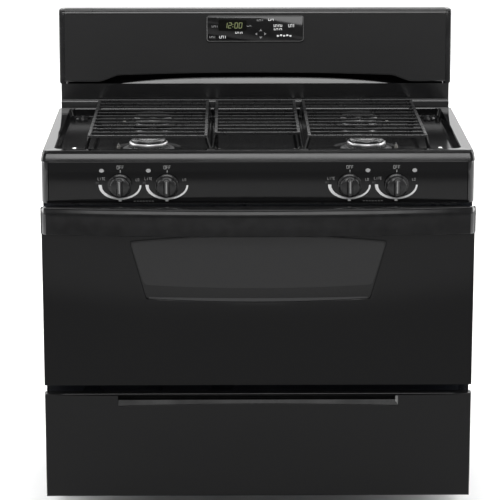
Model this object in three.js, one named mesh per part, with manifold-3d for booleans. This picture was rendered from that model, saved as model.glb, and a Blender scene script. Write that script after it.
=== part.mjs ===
// Freestanding gas range: four sealed burners in pairs with a centre grate, a wide oven with a
// drop-down door, a drawer below it, and a backguard that carries the oven control.
// Millimetres. +X is to the right, +Y to the back, +Z up. The origin is on the floor, under the
// middle of the range's box, so the crown of the door handle is at -Y and the rear cover at +Y.
import * as THREE from "three";
import { mergeVertices } from "three/addons/utils/BufferGeometryUtils.js";
import Module from "manifold-3d";

const wasm = await Module();
wasm.setup();

// ---------------------------------------------------------------- driving dimensions
const WIDTH = 1016;
const DEPTH = 740;
const WORKTOP = 914;
const HEIGHT = 1166;
const FIT = 0.4; // clearance between pieces that are fastened face to face

const HALF = WIDTH / 2;
const FRONT = -DEPTH / 2; // crown of the door handle
const REAR = DEPTH / 2;

// front-to-back stations
const LIP = -295; // front edge of the cooktop
const BACKSPLASH = 292; // rear edge of the cooktop
const DOOR_FACE = -325;
const DOOR_BACK = -281;
const FRAME_FACE = -275; // face that the door closes on
const PANEL_BACK = -271; // rear edges of the control panel's end caps

// heights
const SKIRT = 890; // lower edge of the cooktop
const WELL_FLOOR = 893;
const PANEL_TOP = 889;
const PANEL_BOTTOM = 795;
const HANDLE_TOP = 789;
const HANDLE_BOTTOM = 724;
const DOOR_TOP = 786;
const DOOR_BOTTOM = 354;
const DRAWER_TOP = 334;
const DRAWER_BOTTOM = 77;
const BASE_TOP = 86;
const BASE_BOTTOM = 70;
const BACKGUARD_BOTTOM = 976;

// body
const SIDE_X = 506; // outer face of the side panels
const SIDE_SHEET = 2;
const BODY_REAR = REAR - 4;

// oven
const CAVITY = { half: 420, front: -258, rear: 255, floor: 355, mouth: 400, roof: 745, wall: 3 };
const RACK_LEVELS = { oven_rack_lower: 488, oven_rack_upper: 602 };
const RACK_REST = 0.4; // racks and panels stand this far above what holds them
const HINGE = { x: 455, y: -290, z: 376, pin: 5 };

// cooktop
const WELL = { half: 476, front: -262, rear: 277, slope: 7 };
const BURNER = { x: 260, front: -155, rear: 182 };
const GRATE_TOP = 936;
const GRATE_RAIL = 8;
const GRATE_BAR = { width: 5, height: 5 }; // the bars between the first and the last
const GRATE_REAR_FOOT = 20; // how far the rear legs stand in front of the grate's rear end
const SIDE_GRATE = { inner: 119, outer: 402, front: -212, rear: 284, bars: 12 };
const CENTRE_GRATE = { half: 102, front: -172, rear: 284, bars: 11 };

// controls
const KNOB_X = [-323, -213.5, 213.5, 323];
const KNOB_Z = 834;
const KNOB_BACK = -308.5;
const PANEL_EDGE = -298; // the panel's face at its top and bottom edges
const PANEL_BULGE = 6; // how far the face stands proud of those edges
const STEM_RADIUS = 5;
const MANIFOLD = { y: -205, z: 844, radius: 10 };

// backguard
const CONSOLE_HALF = 488;
const CONSOLE_LEAN = THREE.MathUtils.degToRad(3.5);
const CONSOLE_HEIGHT = 176;
const HEAD_HALF = 502; // the backguard's ends are a little narrower than the cabinet
const FOOT_HALF = 498;
const ARCH = { gap: 4.5, half: 403, shoulder: 58, lift: 14, rise: 8.5 };
const SLOPE = { half: 345, rise: 17.6 };

// ---------------------------------------------------------------- materials
const material = (color, roughness, metalness) =>
  new THREE.MeshStandardMaterial({ color, roughness, metalness });
const GLOSS_ENAMEL = material(0x17171a, 0.12, 0.0);
const SATIN_ENAMEL = material(0x1b1b1e, 0.35, 0.0);
const OVEN_ENAMEL = material(0x2b2e33, 0.3, 0.0);
const GRATE_ENAMEL = material(0x202022, 0.5, 0.0);
const BLACK_PLASTIC = material(0x131315, 0.22, 0.0);
const BLACK_GLASS = material(0x0b0b0d, 0.05, 0.0);
const WINDOW_GLASS = material(0x101012, 0.04, 0.0);
const ALUMINIUM = material(0xb4b5b6, 0.3, 1.0);
const ZINC_STEEL = material(0x9a9d9f, 0.42, 1.0);
const CHROME_WIRE = material(0xc8c9ca, 0.18, 1.0);
const BRASS = material(0xb08d4a, 0.35, 1.0);
const CIRCUIT_BOARD = material(0x1f3a2a, 0.6, 0.0);

// ---------------------------------------------------------------- solids
function toSolid(geometry) {
  const bare = new THREE.BufferGeometry();
  bare.setAttribute("position", geometry.getAttribute("position"));
  bare.setIndex(geometry.index);
  const merged = mergeVertices(bare, 1e-3);
  return new wasm.Manifold(
    new wasm.Mesh({
      numProp: 3,
      vertProperties: merged.attributes.position.array,
      triVerts: new Uint32Array(merged.index.array),
    }),
  );
}

function toGeometry(solid) {
  const mesh = solid.getMesh();
  const geometry = new THREE.BufferGeometry();
  geometry.setAttribute("position", new THREE.BufferAttribute(mesh.vertProperties, 3));
  geometry.setIndex(new THREE.BufferAttribute(mesh.triVerts, 1));
  return geometry;
}

function join(...geometries) {
  return toGeometry(geometries.map(toSolid).reduce((whole, next) => whole.add(next)));
}

function cut(body, ...tools) {
  return toGeometry(tools.map(toSolid).reduce((rest, tool) => rest.subtract(tool), toSolid(body)));
}

// A box from its [low, high] span on each axis.
function box(x, y, z) {
  const size = [x, y, z].map(([low, high]) => high - low);
  const middle = [x, y, z].map(([low, high]) => (low + high) / 2);
  return new THREE.BoxGeometry(...size).translate(...middle);
}

const span = (half) => [-half, half];
const around = (centre, half) => [centre - half, centre + half];
const mirrored = (side, low, high) => (side < 0 ? [-high, -low] : [low, high]);

function shapeOf(points) {
  return new THREE.Shape(points.map(([a, b]) => new THREE.Vector2(a, b)));
}

function extrude(shape, depth, xAxis, yAxis, zAxis) {
  const geometry = new THREE.ExtrudeGeometry(shape, { depth, bevelEnabled: false, curveSegments: 6 });
  return geometry.applyMatrix4(new THREE.Matrix4().makeBasis(xAxis, yAxis, zAxis));
}

const X = new THREE.Vector3(1, 0, 0);
const Y = new THREE.Vector3(0, 1, 0);
const Z = new THREE.Vector3(0, 0, 1);
const FORWARD = new THREE.Vector3(0, -1, 0);

// A (y, z) outline run along X, an (x, z) outline along Y, and an (x, y) outline along Z.
const alongX = (shape, [low, high]) => extrude(shape, high - low, Y, Z, X).translate(low, 0, 0);
const alongY = (shape, [low, high]) => extrude(shape, high - low, X, Z, FORWARD).translate(0, high, 0);
const alongZ = (shape, [low, high]) => extrude(shape, high - low, X, Y, Z).translate(0, 0, low);

// A round bar between two heights, or along another axis.
function rod(radius, [low, high], axis = "z", sides = 12) {
  const bar = new THREE.CylinderGeometry(radius, radius, high - low, sides);
  bar.translate(0, (low + high) / 2, 0);
  if (axis === "z") bar.rotateX(Math.PI / 2);
  if (axis === "x") bar.rotateZ(-Math.PI / 2);
  return bar;
}

// A solid of revolution about Z from (radius, height) points, listed upwards on the outside.
function turned(profile, sides) {
  const points = profile.map(([radius, height]) => new THREE.Vector2(radius, height));
  return new THREE.LatheGeometry(points, sides).rotateX(Math.PI / 2);
}

function roundedRectangle([x0, x1], [y0, y1], radius) {
  const shape = new THREE.Shape();
  shape.absarc(x1 - radius, y0 + radius, radius, -Math.PI / 2, 0);
  shape.absarc(x1 - radius, y1 - radius, radius, 0, Math.PI / 2);
  shape.absarc(x0 + radius, y1 - radius, radius, Math.PI / 2, Math.PI);
  shape.absarc(x0 + radius, y0 + radius, radius, Math.PI, 1.5 * Math.PI);
  return shape;
}

// Points on a shallow arc from a to b that stands `rise` to the right of the way it runs.
function bow([ax, ay], [bx, by], rise, steps) {
  const length = Math.hypot(bx - ax, by - ay);
  const normal = [(by - ay) / length, (ax - bx) / length];
  return Array.from({ length: steps + 1 }, (_, i) => {
    const t = i / steps;
    const height = 4 * rise * t * (1 - t);
    return [ax + (bx - ax) * t + normal[0] * height, ay + (by - ay) * t + normal[1] * height];
  });
}

// Points along x on an edge whose height is given as a function of x.
function bowedEdge([low, high], heightAt, steps = 24) {
  return Array.from({ length: steps + 1 }, (_, i) => {
    const x = low + ((high - low) * i) / steps;
    return [x, heightAt(x)];
  });
}

// The outline of a bent sheet: a polyline and the same line offset to its left by the thickness.
function bentSheet(line, thickness) {
  const directions = line.slice(1).map(([x, y], i) => {
    const [dx, dy] = [x - line[i][0], y - line[i][1]];
    return new THREE.Vector2(dx, dy).normalize();
  });
  const offset = line.map(([x, y], i) => {
    const before = directions[Math.max(i - 1, 0)];
    const after = directions[Math.min(i, directions.length - 1)];
    const left = new THREE.Vector2(-(before.y + after.y), before.x + after.x).normalize();
    const reach = thickness / Math.max(0.3, left.dot(new THREE.Vector2(-before.y, before.x)));
    return [x + left.x * reach, y + left.y * reach];
  });
  return shapeOf([...line, ...offset.reverse()]);
}

// ---------------------------------------------------------------- the assembly
const range = new THREE.Group();

function add(name, geometry, finish, position = [0, 0, 0], parent = range) {
  const mesh = new THREE.Mesh(geometry, finish);
  mesh.name = name;
  mesh.position.set(...position);
  parent.add(mesh);
  return mesh;
}

const SIDES = { left: -1, right: 1 };

// ---------------------------------------------------------------- casing and base
function sidePanel(side) {
  const depth = [-266, BODY_REAR - FIT];
  const sheet = box(mirrored(side, SIDE_X - SIDE_SHEET, SIDE_X), depth, [BASE_TOP - 8, PANEL_TOP]);
  const frontReturn = box(mirrored(side, SIDE_X - 28, SIDE_X), [-266, -264], [396, 780]);
  const rearReturn = box(
    mirrored(side, SIDE_X - 14, SIDE_X),
    [BODY_REAR - FIT - SIDE_SHEET, BODY_REAR - FIT],
    [BASE_TOP + 4, PANEL_TOP],
  );
  return join(sheet, frontReturn, rearReturn);
}

// The rear cover has a cut-out where the gas inlet comes out, and a hole for a power cord's gland.
function rearCover() {
  const sheet = box(span(SIDE_X), [BODY_REAR, REAR], [BASE_TOP + 2, PANEL_TOP]);
  const gasCutOut = box([426, 488], [BODY_REAR - 1, REAR + 1], [245, 335]);
  const glandHole = rod(11, [BODY_REAR - 1, REAR + 1], "y", 16).translate(330, 0, 140);
  return cut(sheet, gasCutOut, glandHole);
}

const LEG_X = 470;
const LEG_Y = [-84, 335];
const LEG_NAMES = ["front", "rear"];

// An upside-down channel bent into a rectangle, with a hole at each corner for a leg.
function baseFrame() {
  const outer = { x: span(500), y: [-262, 362] };
  const inner = { x: span(440), y: [-50, 305] };
  const ring = cut(
    box(outer.x, outer.y, [BASE_BOTTOM, BASE_TOP]),
    box(inner.x, inner.y, [BASE_BOTTOM - 1, BASE_TOP + 1]),
  );
  const wall = 3;
  const groove = cut(
    box(span(500 - wall), [outer.y[0] + wall, outer.y[1] - wall], [BASE_BOTTOM - 1, BASE_TOP - wall]),
    box(span(440 + wall), [inner.y[0] - wall, inner.y[1] + wall], [BASE_BOTTOM - 2, BASE_TOP + 2]),
  );
  const holes = LEG_Y.flatMap((y) =>
    [-LEG_X, LEG_X].map((x) => rod(STEM_RADIUS + 0.6, [BASE_BOTTOM, BASE_TOP + 2]).translate(x, y, 0)),
  );
  return cut(ring, groove, ...holes);
}

// A round foot on a threaded stud.
function levelingLeg() {
  const stud = BASE_TOP + 8;
  return turned([[0, 0], [17, 0], [18, 2], [18, 9], [9, 14], [5, 14], [5, stud], [0, stud]], 12);
}

function buildCasing() {
  for (const [name, side] of Object.entries(SIDES)) {
    add(`side_panel_${name}`, sidePanel(side), GLOSS_ENAMEL);
  }
  add("rear_cover", rearCover(), ZINC_STEEL);
  add("base_frame", baseFrame(), ZINC_STEEL);
  LEG_Y.forEach((y, i) => {
    for (const [name, side] of Object.entries(SIDES)) {
      add(`leveling_leg_${LEG_NAMES[i]}_${name}`, levelingLeg(), ZINC_STEEL, [side * LEG_X, y, 0]);
    }
  });
}

// ---------------------------------------------------------------- oven
const FLUE = { half: 148, low: 702, high: 734 };
const APRON_LOW = 292; // the liner's apron closes the front down to just above the drawer

// The cavity box, its face frame, the ledges for the bottom panel and the racks, and the flue hole.
function ovenLiner() {
  const { half, front, rear, floor, mouth, roof, wall } = CAVITY;
  const tub = cut(
    box(span(half + wall), [front, rear + wall], [floor - wall, roof + wall]),
    box(span(half), [front - 1, rear], [floor, roof]),
  );
  const apron = box(span(half + wall), [front, front + wall], [APRON_LOW, mouth]);
  const crossRail = box(span(503), [front, front + wall], [APRON_LOW, DOOR_BOTTOM + 7]);
  const collar = box(span(half + wall), [FRAME_FACE, front + 1], [mouth - wall, roof + wall]);
  const face = box(span(503), [FRAME_FACE, FRAME_FACE + 3], [388, DOOR_TOP]);
  const opening = box(span(half), [FRAME_FACE - 1, front + wall + 1], [mouth, roof]);
  const frontFrame = cut(join(apron, crossRail, collar, face), opening);
  const ledges = Object.values(SIDES).flatMap((side) => {
    const panelLedge = box(mirrored(side, half - 12, half + 1), span(250), [mouth - 7, mouth - 4]);
    const rackLedges = Object.values(RACK_LEVELS).map((level) =>
      box(mirrored(side, half - 10, half + 1), [-235, 250], [level - 4, level]),
    );
    return [panelLedge, ...rackLedges];
  });
  const flueHole = box(span(FLUE.half), [rear - 1, rear + wall + 1], [FLUE.low, FLUE.high]);
  return cut(join(tub, frontFrame, ...ledges), flueHole);
}

// Lifts out over the oven burner; the slots along its sides let the heat up.
function ovenBottomPanel() {
  const level = CAVITY.mouth - 4 + RACK_REST;
  const sheet = box(span(416), span(251), [level, level + 2.6]);
  const slots = Object.values(SIDES).flatMap((side) =>
    [-150, 0, 150].map((y) => box(mirrored(side, 376, 392), around(y, 60), [level - 1, level + 4])),
  );
  return cut(sheet, ...slots);
}

// A welded wire shelf: a frame, wires from front to back, and stiffeners across.
function ovenRack() {
  const half = 409;
  const [front, rear] = [-228, 236];
  const wire = 4;
  const frame = 6;
  const wires = 11;
  const rails = [
    box(span(half), [front, front + frame], [0, frame]),
    box(span(half), [rear - frame, rear], [0, frame]),
    box([-half, -half + frame], [front, rear], [0, frame]),
    box([half - frame, half], [front, rear], [0, frame]),
    box(span(half), around((front + rear) / 2, wire / 2), [0.5, wire + 0.5]),
  ];
  const pitch = (2 * half) / (wires + 1);
  for (let i = 1; i <= wires; i++) {
    rails.push(box(around(-half + i * pitch, wire / 2), [front + 1, rear - 1], [1, wire + 1]));
  }
  return join(...rails);
}

// A U of burner tube below the bottom panel, fed at the rear.
function ovenBurner() {
  const [arm, rear, bend, radius] = [110, 215, -70, 13];
  const route = new THREE.CurvePath();
  const corner = (x, y) => new THREE.Vector3(x, y, 0);
  route.add(new THREE.LineCurve3(corner(-arm, rear), corner(-arm, bend)));
  route.add(
    new THREE.CubicBezierCurve3(
      corner(-arm, bend),
      corner(-arm, bend - 145),
      corner(arm, bend - 145),
      corner(arm, bend),
    ),
  );
  route.add(new THREE.LineCurve3(corner(arm, bend), corner(arm, rear - 30)));
  const section = new THREE.Shape().absarc(0, 0, radius, 0, 2 * Math.PI);
  return new THREE.ExtrudeGeometry(section, { extrudePath: route, steps: 18, curveSegments: 5 });
}

// Carries the oven's exhaust up behind the cooktop to the opening under the backguard.
function flueDuct() {
  const wall = 2.5;
  const start = CAVITY.rear + CAVITY.wall + FIT;
  const outer = join(
    box(span(FLUE.half + 2), [start, 306], [FLUE.low - 2, FLUE.high + 2]),
    box(span(FLUE.half + 2), [302, 348], [FLUE.low - 2, 962]),
  );
  const inner = join(
    box(span(FLUE.half + 2 - wall), [start - 1, 312], [FLUE.low + 0.5, FLUE.high - 0.5]),
    box(span(FLUE.half + 2 - wall), [302 + wall, 348 - wall], [FLUE.low + 0.5, 963]),
  );
  return cut(outer, inner);
}

function buildOven() {
  add("oven_liner", ovenLiner(), OVEN_ENAMEL);
  add("oven_bottom_panel", ovenBottomPanel(), OVEN_ENAMEL);
  for (const [name, level] of Object.entries(RACK_LEVELS)) {
    add(name, ovenRack(), CHROME_WIRE, [0, 0, level + RACK_REST]);
  }
  add("oven_burner", ovenBurner(), ZINC_STEEL, [0, 0, 376]);
  add("flue_duct", flueDuct(), ZINC_STEEL);
}

// ---------------------------------------------------------------- gas supply
const SUPPLY = { x: 456, y: 300, bottom: 312 };

// The burner manifold with its four valve bodies, and the pipe that feeds it from the regulator.
function gasManifold() {
  const { y, z, radius } = MANIFOLD;
  const elbow = (ey) => new THREE.SphereGeometry(radius + 1, 10, 6).translate(SUPPLY.x, ey, z);
  const pipes = [
    rod(radius, [-370, SUPPLY.x], "x", 10).translate(0, y, z),
    elbow(y),
    rod(radius, [y, SUPPLY.y], "y", 10).translate(SUPPLY.x, 0, z),
    elbow(SUPPLY.y),
    rod(radius, [SUPPLY.bottom, z], "z", 10).translate(SUPPLY.x, SUPPLY.y, 0),
  ];
  const valves = KNOB_X.map((x) => box(around(x, 13), [-258, y], [KNOB_Z - 13, z + 8]));
  const stemHoles = KNOB_X.map((x) => rod(STEM_RADIUS + 0.8, [-260, -232], "y").translate(x, 0, KNOB_Z));
  return cut(join(...pipes, ...valves), ...stemHoles);
}

// A diaphragm regulator: bonnet above, and the inlet union that comes out through the rear cover.
function pressureRegulator() {
  const body = turned([[0, 262], [20, 262], [34, 272], [34, 290], [22, 296], [22, 311], [0, 311]], 20);
  const inlet = rod(12, [0, REAR - 2 - SUPPLY.y], "y", 10).translate(0, 0, 280);
  return join(body, inlet);
}

function buildGasSupply() {
  add("gas_manifold", gasManifold(), ZINC_STEEL);
  add("pressure_regulator", pressureRegulator(), ALUMINIUM, [SUPPLY.x, SUPPLY.y, 0]);
}

// ---------------------------------------------------------------- cooktop
// A block with rounded corners and a chamfered top edge, reaching down past the skirt.
function chamferedBlock(inset, top) {
  const chamfer = 5;
  const reach = chamfer + inset;
  const outline = roundedRectangle(span(HALF - reach), [LIP + reach, BACKSPLASH - reach], 8);
  return new THREE.ExtrudeGeometry(outline, {
    depth: 40,
    bevelThickness: chamfer,
    bevelSize: chamfer,
    bevelSegments: 1,
    curveSegments: 3,
  }).translate(0, 0, top - chamfer - 40);
}

// The well's shape: a flat floor and sides that slope out to the rims.
function wellBlock(grow, floor) {
  const { half, front, rear, slope } = WELL;
  const inset = slope - grow;
  return new THREE.ExtrudeGeometry(roundedRectangle(span(half - inset), [front + inset, rear - inset], 14), {
    depth: 30,
    bevelThickness: WORKTOP - WELL_FLOOR,
    bevelSize: slope,
    bevelSegments: 1,
    curveSegments: 4,
  }).translate(0, 0, floor + WORKTOP - WELL_FLOOR);
}

// A stamped top: flat rims round a sloping-sided well, open underneath.
function cooktop() {
  const sheet = 2.5;
  const inside = { x: span(HALF - 10), y: [LIP + 10, BACKSPLASH - 10] };
  const belowFloor = box(inside.x, inside.y, [SKIRT - 30, WELL_FLOOR - sheet]);
  const belowSkirt = box(span(HALF + 5), [LIP - 5, BACKSPLASH + 5], [SKIRT - 40, SKIRT]);
  const underside = cut(chamferedBlock(sheet, WORKTOP - sheet), wellBlock(sheet, WELL_FLOOR - sheet));
  const burnerHoles = burnerPlaces().map(({ x, y }) =>
    rod(33, [SKIRT, WORKTOP], "z", 24).translate(x, y, 0),
  );
  const well = wellBlock(0, WELL_FLOOR);
  return cut(chamferedBlock(0, WORKTOP), well, underside, belowFloor, belowSkirt, ...burnerHoles);
}

function burnerPlaces() {
  const places = [];
  for (const [depthName, y] of [["front", BURNER.front], ["rear", BURNER.rear]]) {
    for (const [sideName, side] of Object.entries(SIDES)) {
      places.push({ name: `${depthName}_${sideName}`, x: side * BURNER.x, y });
    }
  }
  return places;
}

// A cast burner head on its dish, with the gas passage up its middle.
function burnerBase() {
  return turned(
    [[8, -25], [30, -25], [30, 0], [62, 0], [62, 2.4], [47, 3.6], [43, 7], [43, 18], [8, 18], [8, -25]],
    24,
  );
}

function burnerCap() {
  return turned([[0, 0], [41, 0], [42.5, 1.6], [42.5, 3.8], [38, 6], [0, 7.2]], 24);
}

// A welded grate: a frame on legs, with bars from side to side.
function grate([left, right], front, rear, bars) {
  const frame = 9;
  const rail = GRATE_RAIL;
  const bottom = GRATE_TOP - rail;
  const foot = WELL_FLOOR + RACK_REST;
  const pieces = [
    box([left, left + frame], [front, rear], [bottom, GRATE_TOP]),
    box([right - frame, right], [front, rear], [bottom, GRATE_TOP]),
  ];
  const pitch = (rear - front - rail) / (bars - 1);
  for (let i = 0; i < bars; i++) {
    const y = front + i * pitch;
    const last = i === 0 || i === bars - 1;
    const [width, height] = last ? [rail, rail - 0.5] : [GRATE_BAR.width, GRATE_BAR.height];
    const top = GRATE_TOP - 0.5;
    pieces.push(box([left + 1, right - 1], around(y + rail / 2, width / 2), [top - height, top]));
  }
  for (const x of [left, right - frame]) {
    for (const y of [front, rear - frame - GRATE_REAR_FOOT]) {
      pieces.push(box([x, x + frame], [y, y + frame], [foot, bottom + 1]));
    }
  }
  return join(...pieces);
}

// The stepped riser behind the cooktop, and the slope under the backguard's arch. The slope is a
// crescent, highest in the middle. The oven's exhaust comes up behind it and leaves over its crest.
function ventTrim() {
  const sheet = 2;
  const back = BACKSPLASH + FIT + sheet;
  const step = { y: back + 5, z: 933 };
  const top = BACKGUARD_BOTTOM - FIT;
  const riser = bentSheet([[back, 900], [back, step.z], [step.y, step.z], [step.y, top]], sheet);
  const crest = top + SLOPE.rise - sheet;
  const slopeLine = [[step.y - 0.5, top - sheet], [step.y, top - sheet], [303, crest - 1], [309, crest]];
  const slope = alongX(bentSheet(slopeLine, sheet), span(SLOPE.half));
  const reach = SLOPE.half + 1;
  const crescent = bowedEdge(span(reach), (x) => top + SLOPE.rise * (1 - Math.abs(x / SLOPE.half) ** 3));
  const above = shapeOf([...crescent, [reach, top + 30], [-reach, top + 30]]);
  return join(alongX(riser, span(FOOT_HALF)), cut(slope, alongY(above, [290, 320])));
}

function buildCooktop() {
  add("cooktop", cooktop(), GLOSS_ENAMEL);
  for (const { name, x, y } of burnerPlaces()) {
    add(`burner_base_${name}`, burnerBase(), ALUMINIUM, [x, y, WELL_FLOOR + FIT]);
    add(`burner_cap_${name}`, burnerCap(), GRATE_ENAMEL, [x, y, WELL_FLOOR + 18 + 2 * FIT]);
  }
  const { inner, outer, front, rear, bars } = SIDE_GRATE;
  add("grate_left", grate([-outer, -inner], front, rear, bars), GRATE_ENAMEL);
  add("grate_right", grate([inner, outer], front, rear, bars), GRATE_ENAMEL);
  const centre = CENTRE_GRATE;
  add("grate_centre", grate(span(centre.half), centre.front, centre.rear, centre.bars), GRATE_ENAMEL);
  add("vent_trim", ventTrim(), GLOSS_ENAMEL);
}

// ---------------------------------------------------------------- burner controls
const PANEL_HALF = 489.6;

// The panel's curved face from its lower edge to its upper one.
const panelFace = (edge, low, high) => bow([edge, high], [edge, low], PANEL_BULGE, 8).reverse();

function controlPanel() {
  const sheet = 2.5;
  const back = -268;
  const outline = shapeOf([
    [back, PANEL_BOTTOM],
    ...panelFace(PANEL_EDGE, PANEL_BOTTOM, PANEL_TOP),
    [back, PANEL_TOP],
    [back, PANEL_TOP - sheet],
    ...panelFace(PANEL_EDGE + sheet, PANEL_BOTTOM + sheet, PANEL_TOP - sheet).reverse(),
    [back, PANEL_BOTTOM + sheet],
  ]);
  const holes = KNOB_X.map((x) => rod(STEM_RADIUS + 3, [-320, -280], "y").translate(x, 0, KNOB_Z));
  return cut(alongX(outline, span(PANEL_HALF)), ...holes);
}

function panelEndCap(side) {
  const outline = shapeOf([
    [PANEL_BACK, PANEL_BOTTOM],
    ...panelFace(PANEL_EDGE, PANEL_BOTTOM, PANEL_TOP),
    [PANEL_BACK, PANEL_TOP],
  ]);
  return alongX(outline, mirrored(side, PANEL_HALF + FIT, HALF));
}

// Skirt, grip bar and stem in one, turned about Y. The grip stands upright when the valve is off.
function knob() {
  const body = turned([[0, 0], [28, 0], [28, 4], [25, 9], [23.5, 20], [21, 22], [0, 22]], 28);
  const grip = shapeOf([[-7, 20], [-5, 33], [5, 33], [7, 20]]);
  const bar = extrude(grip, 45, X, Z, FORWARD).translate(0, 22.5, 0);
  const stem = rod(STEM_RADIUS, [-65, 2]);
  return join(body, bar, stem).rotateX(Math.PI / 2);
}

// The spring collar that the stem pushes in before the valve will turn.
function valveCollar() {
  const ring = [[STEM_RADIUS + 0.4, 0], [11, 0], [11, 6], [STEM_RADIUS + 0.4, 6], [STEM_RADIUS + 0.4, 0]];
  return turned(ring, 20).rotateX(Math.PI / 2);
}

function buildControls() {
  add("control_panel", controlPanel(), GLOSS_ENAMEL);
  for (const [name, side] of Object.entries(SIDES)) {
    add(`panel_end_cap_${name}`, panelEndCap(side), BLACK_PLASTIC);
  }
  KNOB_X.forEach((x, i) => {
    add(`knob_${i + 1}`, knob(), BLACK_PLASTIC, [x, KNOB_BACK, KNOB_Z]);
    add(`valve_collar_${i + 1}`, valveCollar(), BRASS, [x, -266, KNOB_Z]);
  });
}

// ---------------------------------------------------------------- backguard
// The panel's lower edge: it swings up near each end and bows gently over the oven vent between.
function archHeight(x) {
  const run = Math.min(1, (ARCH.half - Math.abs(x)) / ARCH.shoulder);
  return ARCH.gap + ARCH.lift * run * run * (3 - 2 * run) + ARCH.rise * (1 - (x / ARCH.half) ** 2);
}

// The leaning front panel; its lower edge is arched over the oven vent.
function backguardFront() {
  const outline = [
    [-CONSOLE_HALF, CONSOLE_HEIGHT],
    [-CONSOLE_HALF, ARCH.gap],
    ...bowedEdge(span(ARCH.half), archHeight, 40),
    [CONSOLE_HALF, ARCH.gap],
    [CONSOLE_HALF, CONSOLE_HEIGHT],
  ];
  return alongY(shapeOf(outline), [0, 3]);
}

const BACKGUARD_TOP_LINE = [
  [311.5, HEIGHT - 12],
  [307, HEIGHT - 8],
  [308.5, HEIGHT - 3],
  [314, HEIGHT],
  [362, HEIGHT - 3],
  [REAR, HEIGHT - 11],
];

const BACKGUARD_FOOT = PANEL_TOP + 3;

// Top cover and back of the backguard in one bent sheet.
function backguardShell() {
  const line = [...BACKGUARD_TOP_LINE, [REAR, BACKGUARD_FOOT]].reverse();
  return alongX(bentSheet(line, 2.5), span(CONSOLE_HALF));
}

// An end cap of the backguard, on a foot that stands a little further in.
function backguardEnd(side) {
  const head = shapeOf([[REAR, BACKGUARD_BOTTOM], [296, BACKGUARD_BOTTOM], ...BACKGUARD_TOP_LINE]);
  const inner = CONSOLE_HALF + FIT;
  const foot = box(mirrored(side, inner, FOOT_HALF), [300, REAR], [BACKGUARD_FOOT, BACKGUARD_BOTTOM + 1]);
  return join(alongX(head, mirrored(side, inner, HEAD_HALF)), foot);
}

const FASCIA = { half: 126, low: 105, high: 172 };
const LENS = { left: -96, right: -24, low: 136, high: 164 };

function buildBackguard() {
  add("backguard_shell", backguardShell(), SATIN_ENAMEL);
  for (const [name, side] of Object.entries(SIDES)) {
    add(`backguard_end_${name}`, backguardEnd(side), BLACK_PLASTIC);
  }
  const console = new THREE.Group();
  console.position.set(0, 297, BACKGUARD_BOTTOM);
  console.rotation.x = -CONSOLE_LEAN;
  range.add(console);
  add("backguard_front", backguardFront(), GLOSS_ENAMEL, [0, 0, 0], console);
  const fascia = alongY(roundedRectangle(span(FASCIA.half), [FASCIA.low, FASCIA.high], 8), [-2, -FIT]);
  add("control_fascia", fascia, BLACK_GLASS, [0, 0, 0], console);
  const lens = alongY(roundedRectangle([LENS.left, LENS.right], [LENS.low, LENS.high], 3), [-3.4, -2.4]);
  add("display_lens", lens, BLACK_GLASS, [0, 0, 0], console);
  add("control_board", box(span(112), [14, 32], [100, 168]), CIRCUIT_BOARD, [0, 0, 0], console);
}

// ---------------------------------------------------------------- door
const WINDOW = { topHalf: 301, bottomHalf: 265, top: 706, bottom: 566, rise: 14, sag: 8 };

// The window's outline: leaning sides between an arched top edge and a sagging bottom edge.
function windowPoints(inset) {
  const top = [WINDOW.topHalf - inset, WINDOW.top - inset];
  const bottom = [WINDOW.bottomHalf - inset, WINDOW.bottom + inset];
  return [
    ...bow([-bottom[0], bottom[1]], bottom, WINDOW.sag, 10),
    ...bow(top, [-top[0], top[1]], WINDOW.rise, 10),
  ];
}

function doorOuterPanel() {
  const outline = shapeOf([[-507, DOOR_BOTTOM], [507, DOOR_BOTTOM], [507, DOOR_TOP], [-507, DOOR_TOP]]);
  outline.holes.push(new THREE.Path(windowPoints(0).map(([x, z]) => new THREE.Vector2(x, z))));
  return alongY(outline, [DOOR_FACE, DOOR_FACE + 4]);
}

const doorWindow = () => alongY(shapeOf(windowPoints(FIT)), [DOOR_FACE + 0.5, DOOR_FACE + 3.5]);

// The inner skin: a pan with a raised plug that closes the oven's mouth, and slots for the hinges.
function doorLiner() {
  const sheet = 3;
  const front = DOOR_FACE + 4 + FIT;
  const pan = { half: 494, low: DOOR_BOTTOM + 6, high: DOOR_TOP - 5 };
  const plug = { half: 404, low: 414, high: 733, back: DOOR_BACK + 11 };
  const outer = join(
    box(span(pan.half), [front, DOOR_BACK], [pan.low, pan.high]),
    box(span(plug.half), [DOOR_BACK - 1, plug.back], [plug.low, plug.high]),
  );
  const inner = join(
    box(span(pan.half - sheet), [front - 1, DOOR_BACK - sheet], [pan.low + sheet, pan.high - sheet]),
    box(span(plug.half - sheet), [DOOR_BACK - 6, plug.back - sheet], [plug.low + sheet, plug.high - sheet]),
  );
  const sight = box(span(275), [DOOR_BACK - 20, plug.back + 1], [574, 701]);
  const slots = Object.values(SIDES).map((side) =>
    box(mirrored(side, HINGE.x - 8, HINGE.x + 11), [-305, DOOR_BACK + 2], [pan.low - 1, HINGE.z + 32]),
  );
  return cut(outer, inner, sight, ...slots);
}

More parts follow.
